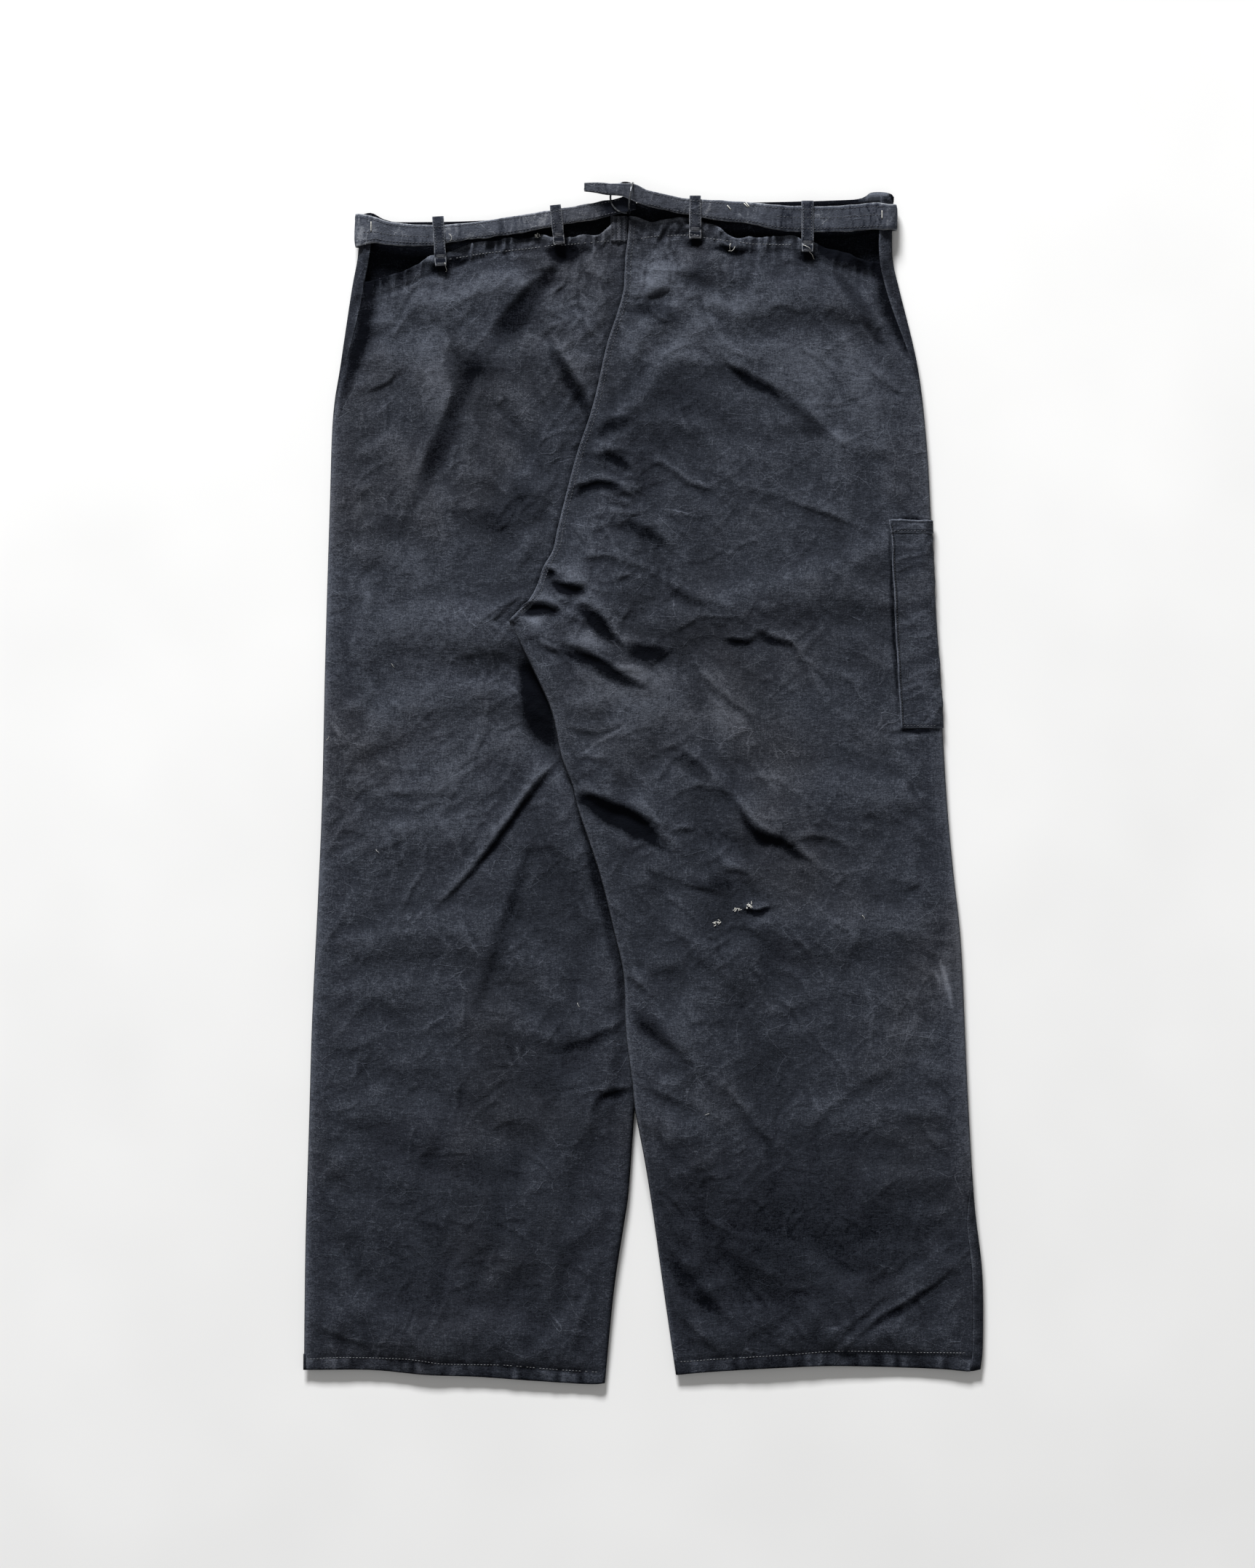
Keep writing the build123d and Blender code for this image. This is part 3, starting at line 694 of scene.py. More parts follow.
class Nodes:
    """Short names for building one material's nodes."""

    def __init__(self, name):
        self.material = bpy.data.materials.new(name)
        self.material.use_nodes = True
        self.tree = self.material.node_tree
        self.shader = self.tree.nodes["Principled BSDF"]

    def add(self, kind, inputs=None, **settings):
        node = self.tree.nodes.new(kind)
        for key, value in settings.items():
            setattr(node, key, value)
        for key, value in (inputs or {}).items():
            self.feed(node.inputs[key], value)
        return node

    def feed(self, socket, value):
        if isinstance(value, bpy.types.NodeSocket):
            self.tree.links.new(value, socket)
        else:
            socket.default_value = value

    def place(self, scale, offset=(0, 0, 0)):
        """Object coordinates in metres, stretched by scale."""
        where = self.add("ShaderNodeTexCoord").outputs["Object"]
        return self.add("ShaderNodeMapping", {"Vector": where, "Scale": scale,
                                              "Location": offset}).outputs[0]

    def noise(self, scale, detail=2.0, stretch=(1, 1, 1), rough=0.5, offset=(0, 0, 0)):
        node = self.add("ShaderNodeTexNoise", {"Vector": self.place(stretch, offset),
                                               "Scale": scale, "Detail": detail,
                                               "Roughness": rough})
        return node.outputs["Fac"]

    def math(self, operation, a, b=0.0):
        node = self.add("ShaderNodeMath", operation=operation)
        self.feed(node.inputs[0], a)
        self.feed(node.inputs[1], b)
        return node.outputs[0]

    def total(self, *shares):
        """The sum of (value, weight) pairs."""
        result = self.math("MULTIPLY", *shares[0])
        for value, weight in shares[1:]:
            result = self.math("ADD", result, self.math("MULTIPLY", value, weight))
        return result

    def span(self, value, low, high, out_low, out_high):
        node = self.add("ShaderNodeMapRange", {"Value": value, "From Min": low, "From Max": high,
                                               "To Min": out_low, "To Max": out_high})
        return node.outputs[0]

    def mix(self, share, a, b):
        node = self.add("ShaderNodeMix", data_type="RGBA")
        self.feed(node.inputs[0], share)
        self.feed(node.inputs[6], a)
        self.feed(node.inputs[7], b)
        return node.outputs[2]

    def bump(self, height, strength, distance, below=None):
        node = self.add("ShaderNodeBump", {"Height": height, "Strength": strength,
                                           "Distance": distance})
        if below is not None:
            self.feed(node.inputs["Normal"], below)
        return node.outputs[0]

    def hairline(self, scale, width, shift):
        """Thin wandering lines that come and go."""
        field = self.noise(scale, 1.5, offset=(shift, -shift, 0))
        off = self.math("ABSOLUTE", self.math("SUBTRACT", field, 0.5))
        line = self.span(off, 0.0, width, 1.0, 0.0)
        shown = self.span(self.noise(scale * 0.35, 2.0, offset=(0, shift, 0)), 0.5, 0.6, 0, 1)
        return self.math("MULTIPLY", line, shown)

    def creased(self, scale, width, shift):
        """Thin straight-sided creases, as crushed cloth keeps."""
        where = self.place((1, 1, 1), (shift, shift, 0))
        bend = self.add("ShaderNodeTexNoise", {"Vector": where, "Scale": scale, "Detail": 3.0})
        moved = self.add("ShaderNodeVectorMath", {0: bend.outputs["Color"], 1: (0.22 / scale,) * 3,
                                                  2: where}, operation="MULTIPLY_ADD")
        cells = self.add("ShaderNodeTexVoronoi", {"Vector": moved.outputs[0], "Scale": scale},
                         feature="DISTANCE_TO_EDGE")
        line = self.span(cells.outputs["Distance"], 0.0, width, 1.0, 0.0)
        shown = self.span(self.noise(scale * 0.6, 2.0, offset=(shift, 0, 0)), 0.52, 0.64, 0, 1)
        return self.math("MULTIPLY", line, shown)

    def threads(self, scale, direction):
        node = self.add("ShaderNodeTexWave", {"Vector": self.place((1, 1, 1)), "Scale": scale,
                                              "Distortion": 2.0, "Detail": 1.0,
                                              "Detail Scale": 4.0},
                        wave_type="BANDS", bands_direction=direction)
        return node.outputs["Fac"]


FADED = (0.24, 0.26, 0.30, 1)       # duck at its palest


def duck(name, dark, middle, light, contrast=1.0, slubs=1.0, blotches=1.0):
    """Washed navy duck: slubs run across the legs, high places and creases are rubbed pale."""
    n = Nodes(name)
    wear = n.add("ShaderNodeAttribute", attribute_name="wear").outputs["Fac"]
    # This attribute holds painted shade and painted highlights, as well as the duck's own paler and
    # darker places.
    tone_and_shade = n.add("ShaderNodeAttribute", attribute_name="tone_and_shade").outputs["Fac"]
    slub = n.noise(1.0, 3.0, (160, 720, 300), 0.7)
    warp = n.noise(1.0, 2.0, (1300, 130, 400), 0.5)
    mottle = n.noise(70.0, 5.0, (1, 1.1, 1), 0.7)
    cloud = n.noise(14.0, 3.0, (1, 1, 1), 0.55)
    speck = n.noise(520.0, 2.0, (0.8, 1.2, 1), 0.7)
    fleck = n.noise(900.0, 1.0, (1, 1, 1), 0.5, (5, 3, 0))
    grain = n.total((slub, 0.6), (warp, 0.4))
    lines = n.total((n.hairline(26.0, 0.005, 3.1), 0.6), (n.hairline(48.0, 0.006, 7.7), 0.5),
                    (n.creased(34.0, 0.014, 4.4), 0.9), (n.creased(70.0, 0.024, 8.3), 0.8))
    level = n.total((wear, 0.38 * contrast), (tone_and_shade, 0.42),
                    (n.span(grain, 0.35, 0.65, -1, 1), 0.15 * slubs),
                    (n.span(mottle, 0.3, 0.7, -1, 1), 0.07 * blotches),
                    (n.span(cloud, 0.3, 0.7, -1, 1), 0.05 * blotches),
                    (n.span(speck, 0.35, 0.65, -1, 1), 0.04 + 0.06 * slubs),
                    (n.span(fleck, 0.35, 0.65, -1, 1), 0.04 + 0.07 * slubs),
                    (lines, 0.36 * contrast))
    low = n.mix(n.span(level, -0.60, 0.0, 0.0, 1.0), dark, middle)
    washed = n.mix(n.span(level, 0.0, 0.75, 0.0, 1.0), low, light)
    colour = n.mix(n.span(level, 0.85, 1.9, 0.0, 1.0), washed, FADED)
    brown = n.span(n.noise(5.0, 3.0, (1, 1, 1), 0.6, (2, 5, 0)), 0.5, 0.68, 0.0, 0.5)
    tinted = n.add("ShaderNodeMix", data_type="RGBA", blend_type="MULTIPLY")
    n.feed(tinted.inputs[0], brown)
    n.feed(tinted.inputs[6], colour)
    n.feed(tinted.inputs[7], (1.05, 0.95, 0.84, 1))
    n.feed(n.shader.inputs["Base Color"], tinted.outputs[2])
    n.feed(n.shader.inputs["Roughness"], n.span(mottle, 0.3, 0.7, 0.78, 0.95))
    n.feed(n.shader.inputs["Specular IOR Level"], n.span(level, -0.6, 0.6, 0.02, 0.16))
    n.feed(n.shader.inputs["Sheen Weight"], n.span(level, -0.6, 0.6, 0.0, 0.03))
    n.feed(n.shader.inputs["Sheen Roughness"], 0.5)
    n.feed(n.shader.inputs["Sheen Tint"], (0.62, 0.68, 0.80, 1))
    weave = n.math("MULTIPLY", n.threads(390.0, "Y"), n.threads(450.0, "X"))
    crinkle = n.noise(150.0, 3.0, (0.85, 1.2, 1), 0.6, (4, 1, 0))
    first = n.bump(weave, 0.4, 0.0003)
    second = n.bump(n.total((grain, 0.6), (speck, 0.4)), 0.75, 0.0009, first)
    third = n.bump(n.total((mottle, 1.0), (lines, 0.6)), 0.4, 0.0020, second)
    n.feed(n.shader.inputs["Normal"], n.bump(crinkle, 0.6, 0.0014, third))
    return n.material


def thread(name, colour, pale):
    n = Nodes(name)
    twist = n.noise(900.0, 2.0, (1, 1, 1), 0.5)
    n.feed(n.shader.inputs["Base Color"], n.mix(n.span(twist, 0.35, 0.65, 0, 1), colour, pale))
    n.feed(n.shader.inputs["Roughness"], n.span(twist, 0.3, 0.7, 0.7, 0.9))
    n.feed(n.shader.inputs["Normal"], n.bump(twist, 0.5, 0.0002))
    return n.material


def metal(name, colour, worn, rough_low, rough_high):
    n = Nodes(name)
    rubbed = n.noise(160.0, 4.0, (1, 1, 1), 0.6)
    drawn = n.noise(1.0, 2.0, (900, 300, 900), 0.5)
    n.feed(n.shader.inputs["Base Color"], n.mix(n.span(rubbed, 0.45, 0.65, 0, 1), colour, worn))
    n.feed(n.shader.inputs["Metallic"], n.span(rubbed, 0.4, 0.7, 0.75, 1.0))
    n.feed(n.shader.inputs["Roughness"], n.span(rubbed, 0.3, 0.7, rough_low, rough_high))
    n.feed(n.shader.inputs["Normal"], n.bump(drawn, 0.2, 0.0002))
    return n.material


outside_duck = duck("washed_duck", (0.0030, 0.0036, 0.0056, 1), (0.0222, 0.0256, 0.0345, 1),
                    (0.105, 0.117, 0.146, 1))
belt_duck = duck("belt_duck", (0.010, 0.012, 0.018, 1), (0.060, 0.067, 0.085, 1),
                 (0.31, 0.325, 0.355, 1), slubs=0.5, blotches=0.4)
# A darker copy of the duck for cloth on the inside: painted shade.
shaded_inside_duck = duck("shaded_inside_duck", (0.003, 0.0035, 0.005, 1), (0.012, 0.0135, 0.018, 1),
                   (0.05, 0.055, 0.065, 1))
faded_thread = thread("faded_thread", (0.08, 0.085, 0.095, 1), (0.20, 0.205, 0.22, 1))
dark_thread = thread("dark_thread", (0.004, 0.0045, 0.006, 1), (0.014, 0.015, 0.019, 1))
navy_thread = thread("navy_thread", (0.030, 0.033, 0.042, 1), (0.085, 0.09, 0.105, 1))
pale_thread = thread("pale_thread", (0.36, 0.36, 0.34, 1), (0.70, 0.69, 0.65, 1))
ring_metal = metal("dark_wire", (0.03, 0.032, 0.038, 1), (0.22, 0.23, 0.25, 1), 0.18, 0.36)
button_metal = metal("dull_brass", (0.16, 0.12, 0.07, 1), (0.42, 0.34, 0.20, 1), 0.35, 0.6)

# ---- cloth simulation ------------------------------------------------------------

SIM_FRAMES = 24
SIM_STRIDE = 6               # one simulated row or column for this many mesh ones
SLACK = 0.012                # how much longer the cloth is than the shape it lies on
SINK = 2.0                   # how far the cloth may fall, in mm


def pick(count, stride):
    """Every stride-th index, and always the last."""
    chosen = list(range(0, count, stride))
    return chosen if chosen[-1] == count - 1 else chosen + [count - 1]


def refill(values, rows, cols, shape):
    """Values for a full grid, smoothly from the picked rows and columns."""
    by_row = np.array([np.interp(np.arange(shape[1]), cols, line) for line in values])
    return blur(np.array([np.interp(np.arange(shape[0]), rows, line) for line in by_row.T]).T, 10)


def settle(points, held):
    """Lets a grid of slack cloth fall on its own lowered shape, where it buckles into
    folds of its own. Returns how much each point rose or fell, in mm."""
    shape = points.shape[:2]
    rows, cols = pick(shape[0], SIM_STRIDE), pick(shape[1], SIM_STRIDE)
    start = points[np.ix_(rows, cols)]
    faces = quads(len(rows), len(cols))
    if point_normals(start.reshape(-1, 3), faces)[:, 2].sum() < 0:
        faces = faces[:, ::-1]
    cloth_piece = link("simulated", start.reshape(-1, 3), faces.tolist(), outside_duck)
    lowered = start - [0, 0, SINK]
    support = link("support", lowered.reshape(-1, 3), faces.tolist(), outside_duck)
    support.modifiers.new("collision", "COLLISION")
    support.collision.thickness_outer = 0.5 * MM
    support.collision.cloth_friction = 10.0
    group = cloth_piece.vertex_groups.new(name="held")
    group.add(np.flatnonzero(held[np.ix_(rows, cols)].ravel()).tolist(), 1.0, "REPLACE")
    cloth = cloth_piece.modifiers.new("cloth", "CLOTH")
    settings = cloth.settings
    settings.quality = 6
    settings.mass = 0.4
    settings.air_damping = 3.0
    settings.tension_stiffness = 80
    settings.compression_stiffness = 80
    settings.shear_stiffness = 40
    settings.bending_stiffness = 20.0
    settings.vertex_group_mass = "held"
    settings.shrink_min = -SLACK
    settings.shrink_max = -SLACK
    cloth.collision_settings.use_self_collision = False
    cloth.collision_settings.distance_min = 0.5 * MM
    cloth.point_cache.frame_end = SIM_FRAMES
    scene = bpy.context.scene
    for number in range(1, SIM_FRAMES + 1):
        scene.frame_set(number)
    shaped = cloth_piece.evaluated_get(bpy.context.evaluated_depsgraph_get())
    flat = np.zeros(start.size)
    shaped.data.vertices.foreach_get("co", flat)
    rise = flat.reshape(start.shape)[:, :, 2] / MM - start[:, :, 2]
    for helper in (cloth_piece, support):
        bpy.data.objects.remove(helper)
    scene.frame_set(1)
    return refill(np.clip(rise, -4, 5), rows, cols, shape)


# ---- trouser halves --------------------------------------------------------------

def spread(count, crowding=0.4):
    """Shares from 0 to 1, closer together towards both ends."""
    u = np.linspace(0, 1, count)
    return (1 - crowding) * u + crowding * (0.5 - 0.5 * np.cos(np.pi * u))


def half_grid(outer_x, inner_x, low_y, high_y, rows, shares):
    """Plan positions of a half's grid: rows up the leg, columns from its first edge."""
    s = spread(rows, 0.08)[:, None]
    t = shares[None, :]
    middle_y = LOWEST_Y + s * BACK_LENGTH
    x_edge = outer_x(middle_y)
    x = x_edge + (inner_x(middle_y) - x_edge) * t
    y0 = low_y(x[0])[None, :]
    y1 = high_y(x[-1])[None, :]
    y = y0 + (y1 - y0) * s
    x_edge = outer_x(y)
    x = x_edge + (inner_x(y) - x_edge) * t
    return x, y


def left_inside(y):
    return np.where(y < CROTCH_Y, left_inner(y), seat_line(y))


def right_inside(y):
    return np.where(y < CROTCH_Y, right_inner(y), seat_line(y))


def left_strip(y):
    """Width of front cloth that is rolled over the left side onto the back."""
    return 11.0 * ease((y - 325) / 130)


def right_strip(y):
    upper = 12.5 * ease((y - 330) / 130)
    lower = 9.5 * ease((-350 - y) / 60)
    return upper + lower


def shade_and_tone_spots(x, y, painted_shade_and_tone):
    total = np.zeros(x.shape)
    for amount, cx, cy, rx, ry in painted_shade_and_tone:
        total += amount * np.exp(-((x - cx) / rx) ** 2 - ((y - cy) / ry) ** 2)
    return total


# (amount, x, y, reach across, reach along): paler and darker places of the duck, many of them
# painted: shadows under the belt loops and beside folds, and highlights on raised folds
LEFT_SHADE_AND_TONE_SPOTS = [(0.5, -150, 452, 40, 14), (0.5, -190, 395, 16, 40), (0.5, -125, 402, 26, 12),
              (0.35, -60, 425, 26, 40), (0.25, -220, 420, 30, 60), (0.25, -215, 200, 70, 130),
              (0.3, -190, 20, 70, 90), (-0.45, -150, -430, 190, 110), (-0.5, -150, 380, 26, 10),
              (-0.35, -80, -90, 60, 50), (-0.35, -90, -260, 90, 50), (-0.2, -120, 200, 40, 60),
              (-0.7, -150, 380, 24, 12), (-0.7, -232, 233, 24, 14),
              (-0.6, -112, 268, 24, 10), (-2.6, -185, 472, 8, 5), (-2.8, -77, 486, 10, 8),
              (-1.2, -60, 490, 12, 5)]
RIGHT_SHADE_AND_TONE_SPOTS = [(0.9, 10, 466, 22, 20), (0.6, 20, 398, 50, 16), (0.5, 150, 385, 50, 26),
               (0.35, 190, 340, 50, 60), (0.15, 150, 60, 80, 60), (0.5, 60, 440, 60, 24),
               (0.8, -96, 149, 20, 8),
               (0.5, -40, 133, 30, 9), (0.6, 0, 100, 60, 10), (0.4, -10, 78, 60, 16),
               (0.5, 60, 60, 50, 14), (0.4, 120, -30, 30, 10), (-0.9, 150, -410, 170, 62),
               (-0.4, 90, -490, 110, 50), (-0.2, 110, -250, 70, 50), (0.2, 235, -215, 50, 40),
               (-0.6, -44, 150, 26, 12), (-0.5, -10, 118, 34, 9), (-0.25, 60, 130, 60, 40),
               (0.9, 275, -178, 7, 26), (-0.5, 20, 345, 55, 34), (-0.4, 60, -60, 60, 40),
               (-0.5, -20, 285, 34, 20), (-0.35, 60, -150, 80, 40), (0.3, 288, -100, 6, 300),
               (-2.4, 48, 495, 8, 4.5), (-2.4, 150, 482, 8, 5), (-0.6, 52, 468, 12, 12)]


# by side, -1 for the left one
SIDES = {-1: left_side, 1: right_side}
WAIST_SHADE = {-1: (195, 1.4, 8), 1: (152, 3.6, 9)}      # where it starts, how dark, how deep
# Beside the inner edge: painted shade on the left half, where the right leg's edge shades it, and a
# paler edge on the right half.
SEAM_SIDE_SHADE_AND_PALE = {-1: -0.9, 1: 1.0}       # tone beside the inner edge
HELD_SIDE, HELD_INSIDE, HELD_SEAM = 22, 20, 14       # the simulation holds cloth this near
HELD_WAIST, HELD_HEM = 24, 16


def build_back(name, side, inside, hem, waist, base, detail, spot_shade_and_tone, shade_lines, sign, columns):
    """A back half, from its side edge to the seat seam and inner leg edge."""
    x, y = half_grid(side, inside, hem, lambda v: waist(v) + 2.0 * noise(v, v * 0, 10, 33), ROWS,
                     spread(columns))
    outer_d = sign * (SIDES[sign](y) - x)
    inner_d = np.where(y < CROTCH_Y - 15 * (sign < 0), sign * (x - inside(y)), 1e3)
    start = base(x, y)
    middle = EDGE_Z + (right_lift(x, y) if sign > 0 else 0)
    shape = roll(outer_d, EDGE_ROLL) * roll(inner_d, EDGE_ROLL)
    z = middle + (start - middle) * shape
    beside_seam = np.where(y > CROTCH_Y, np.abs(x - inside(y)), 1e3)
    held = (outer_d < HELD_SIDE) | (inner_d < HELD_INSIDE) | (beside_seam < HELD_SEAM)
    held |= (y > waist(x) - HELD_WAIST) | (y < hem(x) + HELD_HEM)
    z = z + settle(np.dstack([x, y, z]), held)
    z = z + detail(x, y) * shape
    # Painted shade and highlights from the listed spots and lines, and painted shade at the waist's
    # sides under the belt, beside the inner edge and beside the seat seam, on top of the duck's own
    # paler and darker places.
    painted_shade_and_tone = shade_and_tone_spots(x, y, spot_shade_and_tone) + painted_line_shade(x, y, shade_lines)
    painted_shade_and_tone += waist_wear_and_shade(x, y, waist(x), *WAIST_SHADE[sign]) + 0.8 * np.exp(-(outer_d / 4.5) ** 2)
    painted_shade_and_tone += 0.9 * noise(x, y * 0.25, 5.5, 45 + sign) * (y < hem(x) + 12)
    painted_shade_and_tone += SEAM_SIDE_SHADE_AND_PALE[sign] * np.exp(-(inner_d / 2.6) ** 2)
    # Painted shade on the left half beside the seat seam, where the right half's edge lies over it.
    if sign < 0:
        painted_shade_and_tone -= np.where(y > CROTCH_Y, 0.9 * np.exp(-((x - inside(y)) / 3) ** 2), 0)
    outer = np.dstack([x, y, z])
    cover.add(outer)
    piece = cloth_shell(name, outer, CLOTH, outside_duck, curvature_wear(z), painted_shade_and_tone)
    return piece, outer


def build_front(name, strip, inside, hem, waist, back_top, lift, recess, sign):
    """The front cloth: under the leg, round its side, and on to the back by the strip."""
    rows = ROWS // 2
    flat_share = spread(60, 0.5)
    s = spread(rows, 0.08)[:, None]
    turn = np.linspace(0, 1, 15)[None, 1:]
    side_x = SIDES[sign]
    middle_y = LOWEST_Y + s * FRONT_LENGTH
    edge = side_x(middle_y)
    x = inside(middle_y) + (edge - inside(middle_y)) * flat_share[None, :]
    y0, y1 = hem(x[0])[None, :], waist(x[-1])[None, :]
    y = y0 + (y1 - y0) * s
    edge = side_x(y)
    x = inside(y) + (edge - inside(y)) * flat_share[None, :]
    distance = np.minimum(np.abs(edge - x), np.where(y < CROTCH_Y, np.abs(x - inside(y)), 1e3))
    rise = lift(x, y)
    z = EDGE_Z + rise + (front_height(x, y, rise) - EDGE_Z - rise) * roll(distance, EDGE_ROLL)
    z += recess(x, y) + waist_rise(x, y, waist) * roll(distance, EDGE_ROLL)
    side_y = np.repeat(y[:, -1:], turn.shape[1], 1)
    over = strip(side_y) * turn ** 1.6
    x_over = side_x(side_y) - sign * over
    z_over = EDGE_Z + (back_top(x_over, side_y) + 0.6 - EDGE_Z) * roll(over, EDGE_ROLL)
    outer = np.dstack([np.hstack([x, x_over]), np.hstack([y, side_y]), np.hstack([z, z_over])])
    strip_tone = -0.45 + 0.5 * turn ** 8 + 0.4 * noise(x_over, side_y, 8, 44)
    edge_tone = np.hstack([np.zeros(x.shape), strip_tone])
    edge_wear = np.hstack([np.zeros(x.shape), 0.4 * turn ** 6 + 0 * x_over])
    # The front's inner side is darkened as painted shade.
    return cloth_shell(name, outer, CLOTH, outside_duck, edge_wear, edge_tone, up=False,
                       inside=-1.4), outer


def no_lift(x, y):
    return np.zeros(np.shape(x))


def front_right_lift(x, y):
    return right_lift(x, y) * ease((CROTCH_Y + 40 - y) / 60)


def fly_recess(x, y):
    """The right front passes over the button stand."""
    return 2.6 * ease((FLY_RIGHT + 8 - x) / 6) * ease((x + 20) / 6) * ease((y - FLY_LOW + 8) / 6)


cover = Cover()
left_back, left_grid = build_back(
    "left_back_cloth", lambda v: left_side(v) + left_strip(v), left_inside, left_hem,
    back_waist_left, left_base, left_detail, LEFT_SHADE_AND_TONE_SPOTS, LEFT_SHADE_LINES, -1, 146)
right_back, right_grid = build_back(
    "right_back_cloth", lambda v: right_side(v) - right_strip(v), right_inside, right_hem,
    back_waist_right, right_base, right_detail, RIGHT_SHADE_AND_TONE_SPOTS, RIGHT_SHADE_LINES, 1, 152)
left_front, left_front_grid = build_front(
    "left_front_cloth", left_strip, left_inside, left_hem, front_waist_left,
    lambda x, y: left_base(x, y) + left_detail(x, y), no_lift, no_lift, -1)
right_front, right_front_grid = build_front(
    "right_front_cloth", right_strip, right_inside, right_hem, front_waist_right,
    lambda x, y: right_base(x, y) + right_detail(x, y), front_right_lift, fly_recess, 1)

# ---- seams and hems --------------------------------------------------------------


def along(points, step):
    """Points this far apart along a smooth line."""
    line = smooth_line(points, 20)
    lengths = np.concatenate([[0], np.cumsum(np.linalg.norm(np.diff(line, axis=0), axis=1))])
    count = max(2, int(lengths[-1] / step))
    where = np.linspace(0, lengths[-1], count)
    return np.stack([np.interp(where, lengths, line[:, k]) for k in range(line.shape[1])], 1)


def strip_on(name, points, offsets, rises, material, thick=0.9, wear=0.0, tone_and_shade=0.0):
    """A band laid on the cloth along a line: offsets are its columns, to the line's left."""
    line = along(points, 2.4)
    ahead = np.gradient(line, axis=0)
    ahead /= np.linalg.norm(ahead, axis=1, keepdims=True)
    left = np.stack([-ahead[:, 1], ahead[:, 0]], 1)
    plan = line[:, None, :] + left[:, None, :] * np.asarray(offsets)[None, :, None]
    z = blur(cover.top(plan[:, :, 0], plan[:, :, 1]), 1) + np.asarray(rises)[None, :]
    outer = np.dstack([plan, z])
    return cloth_shell(name, outer, thick, material, wear, tone_and_shade), outer


seat_points = [(float(seat_line(v)), float(v)) for v in np.linspace(150, 516, 24)]
seat_offsets = np.array([0.9, 0.5, -0.3, -1.4, -2.8, -4.2, -5.2])
seat_seam, seat_grid = strip_on(
    "seat_seam_felled", seat_points, seat_offsets, (-0.6, 0.15, 0.4, 0.3, 0.2, 0.1, -0.2),
    outside_duck, thick=0.7, wear=np.array([1.3, 1.6, 0.8, 0.1, 0.0, 0.0, 0.0]))
cover.add(seat_grid)


def facing(name, grid, first, last, gap, up, material, thick=1.0, tone_and_shade=-0.3, inside=-0.7):
    """A layer of cloth inside a panel, under the panel's rows from first to last."""
    part = grid[first:last]
    points = part.reshape(-1, 3)
    normal = point_normals(points, quads(*part.shape[:2]))
    if (normal[:, 2].sum() > 0) != up:
        normal = -normal
    moved = (points - normal * gap).reshape(part.shape)
    return cloth_shell(name, moved, thick, material, 0.0, tone_and_shade, up=up, inside=inside), moved


def rows_below(grid, low_y, depth):
    """How many of a grid's first rows lie within depth of its hem."""
    middle = grid[:, grid.shape[1] // 2]
    return int(np.searchsorted(middle[:, 1], low_y(middle[0, 0]) + depth)) + 1


hem_pieces = {}
for label, back, front, hem in (("left", left_grid, left_front_grid, left_hem),
                                ("right", right_grid, right_front_grid, right_hem)):
    upper, _ = facing(label + "_hem_back", back, 0, rows_below(back, hem, HEM_DEPTH),
                      CLOTH + 0.1, True, outside_duck)
    lower, _ = facing(label + "_hem_front", front, 0, rows_below(front, hem, HEM_DEPTH),
                      CLOTH + 0.1, False, outside_duck)
    hem_pieces[label] = (upper, lower)


def rows_from_top(grid, depth):
    column = grid[:, grid.shape[1] // 2, 1]
    return int(np.searchsorted(column, column[-1] - depth))


left_columns = slice(3, 58)
right_columns = slice(12, 58)
# The left waistband's inner side is darkened as painted shade.
left_band, _ = facing("left_waistband", left_front_grid[:, left_columns],
                      rows_from_top(left_front_grid, WAISTBAND), ROWS // 2, CLOTH + 0.2, False,
                      outside_duck, inside=-1.6)
# The right waistband's inner side is darkened as painted shade too, and made pale again where its
# corner stands up into the light, as painted light.
right_band_row = rows_from_top(right_front_grid, WAISTBAND)
right_band_x = right_front_grid[right_band_row:ROWS // 2, right_columns, 0]
right_band_y = right_front_grid[right_band_row:ROWS // 2, right_columns, 1]
raised = np.exp(-((right_band_x - 215) / 15) ** 4) * ease((right_band_y - 528) / 6)
right_band, _ = facing("right_waistband", right_front_grid[:, right_columns], right_band_row,
                       ROWS // 2, CLOTH + 0.2, False, outside_duck, inside=-1.6 + 3.2 * raised)
rise_rows = rows_below(left_front_grid, left_hem, CROTCH_Y + 552)
rise_seam, _ = facing("front_rise_felled", right_front_grid[:, 0:8], rise_rows, ROWS // 2 - 18,
                      CLOTH + 0.15, False, shaded_inside_duck)

# ---- belt ------------------------------------------------------------------------


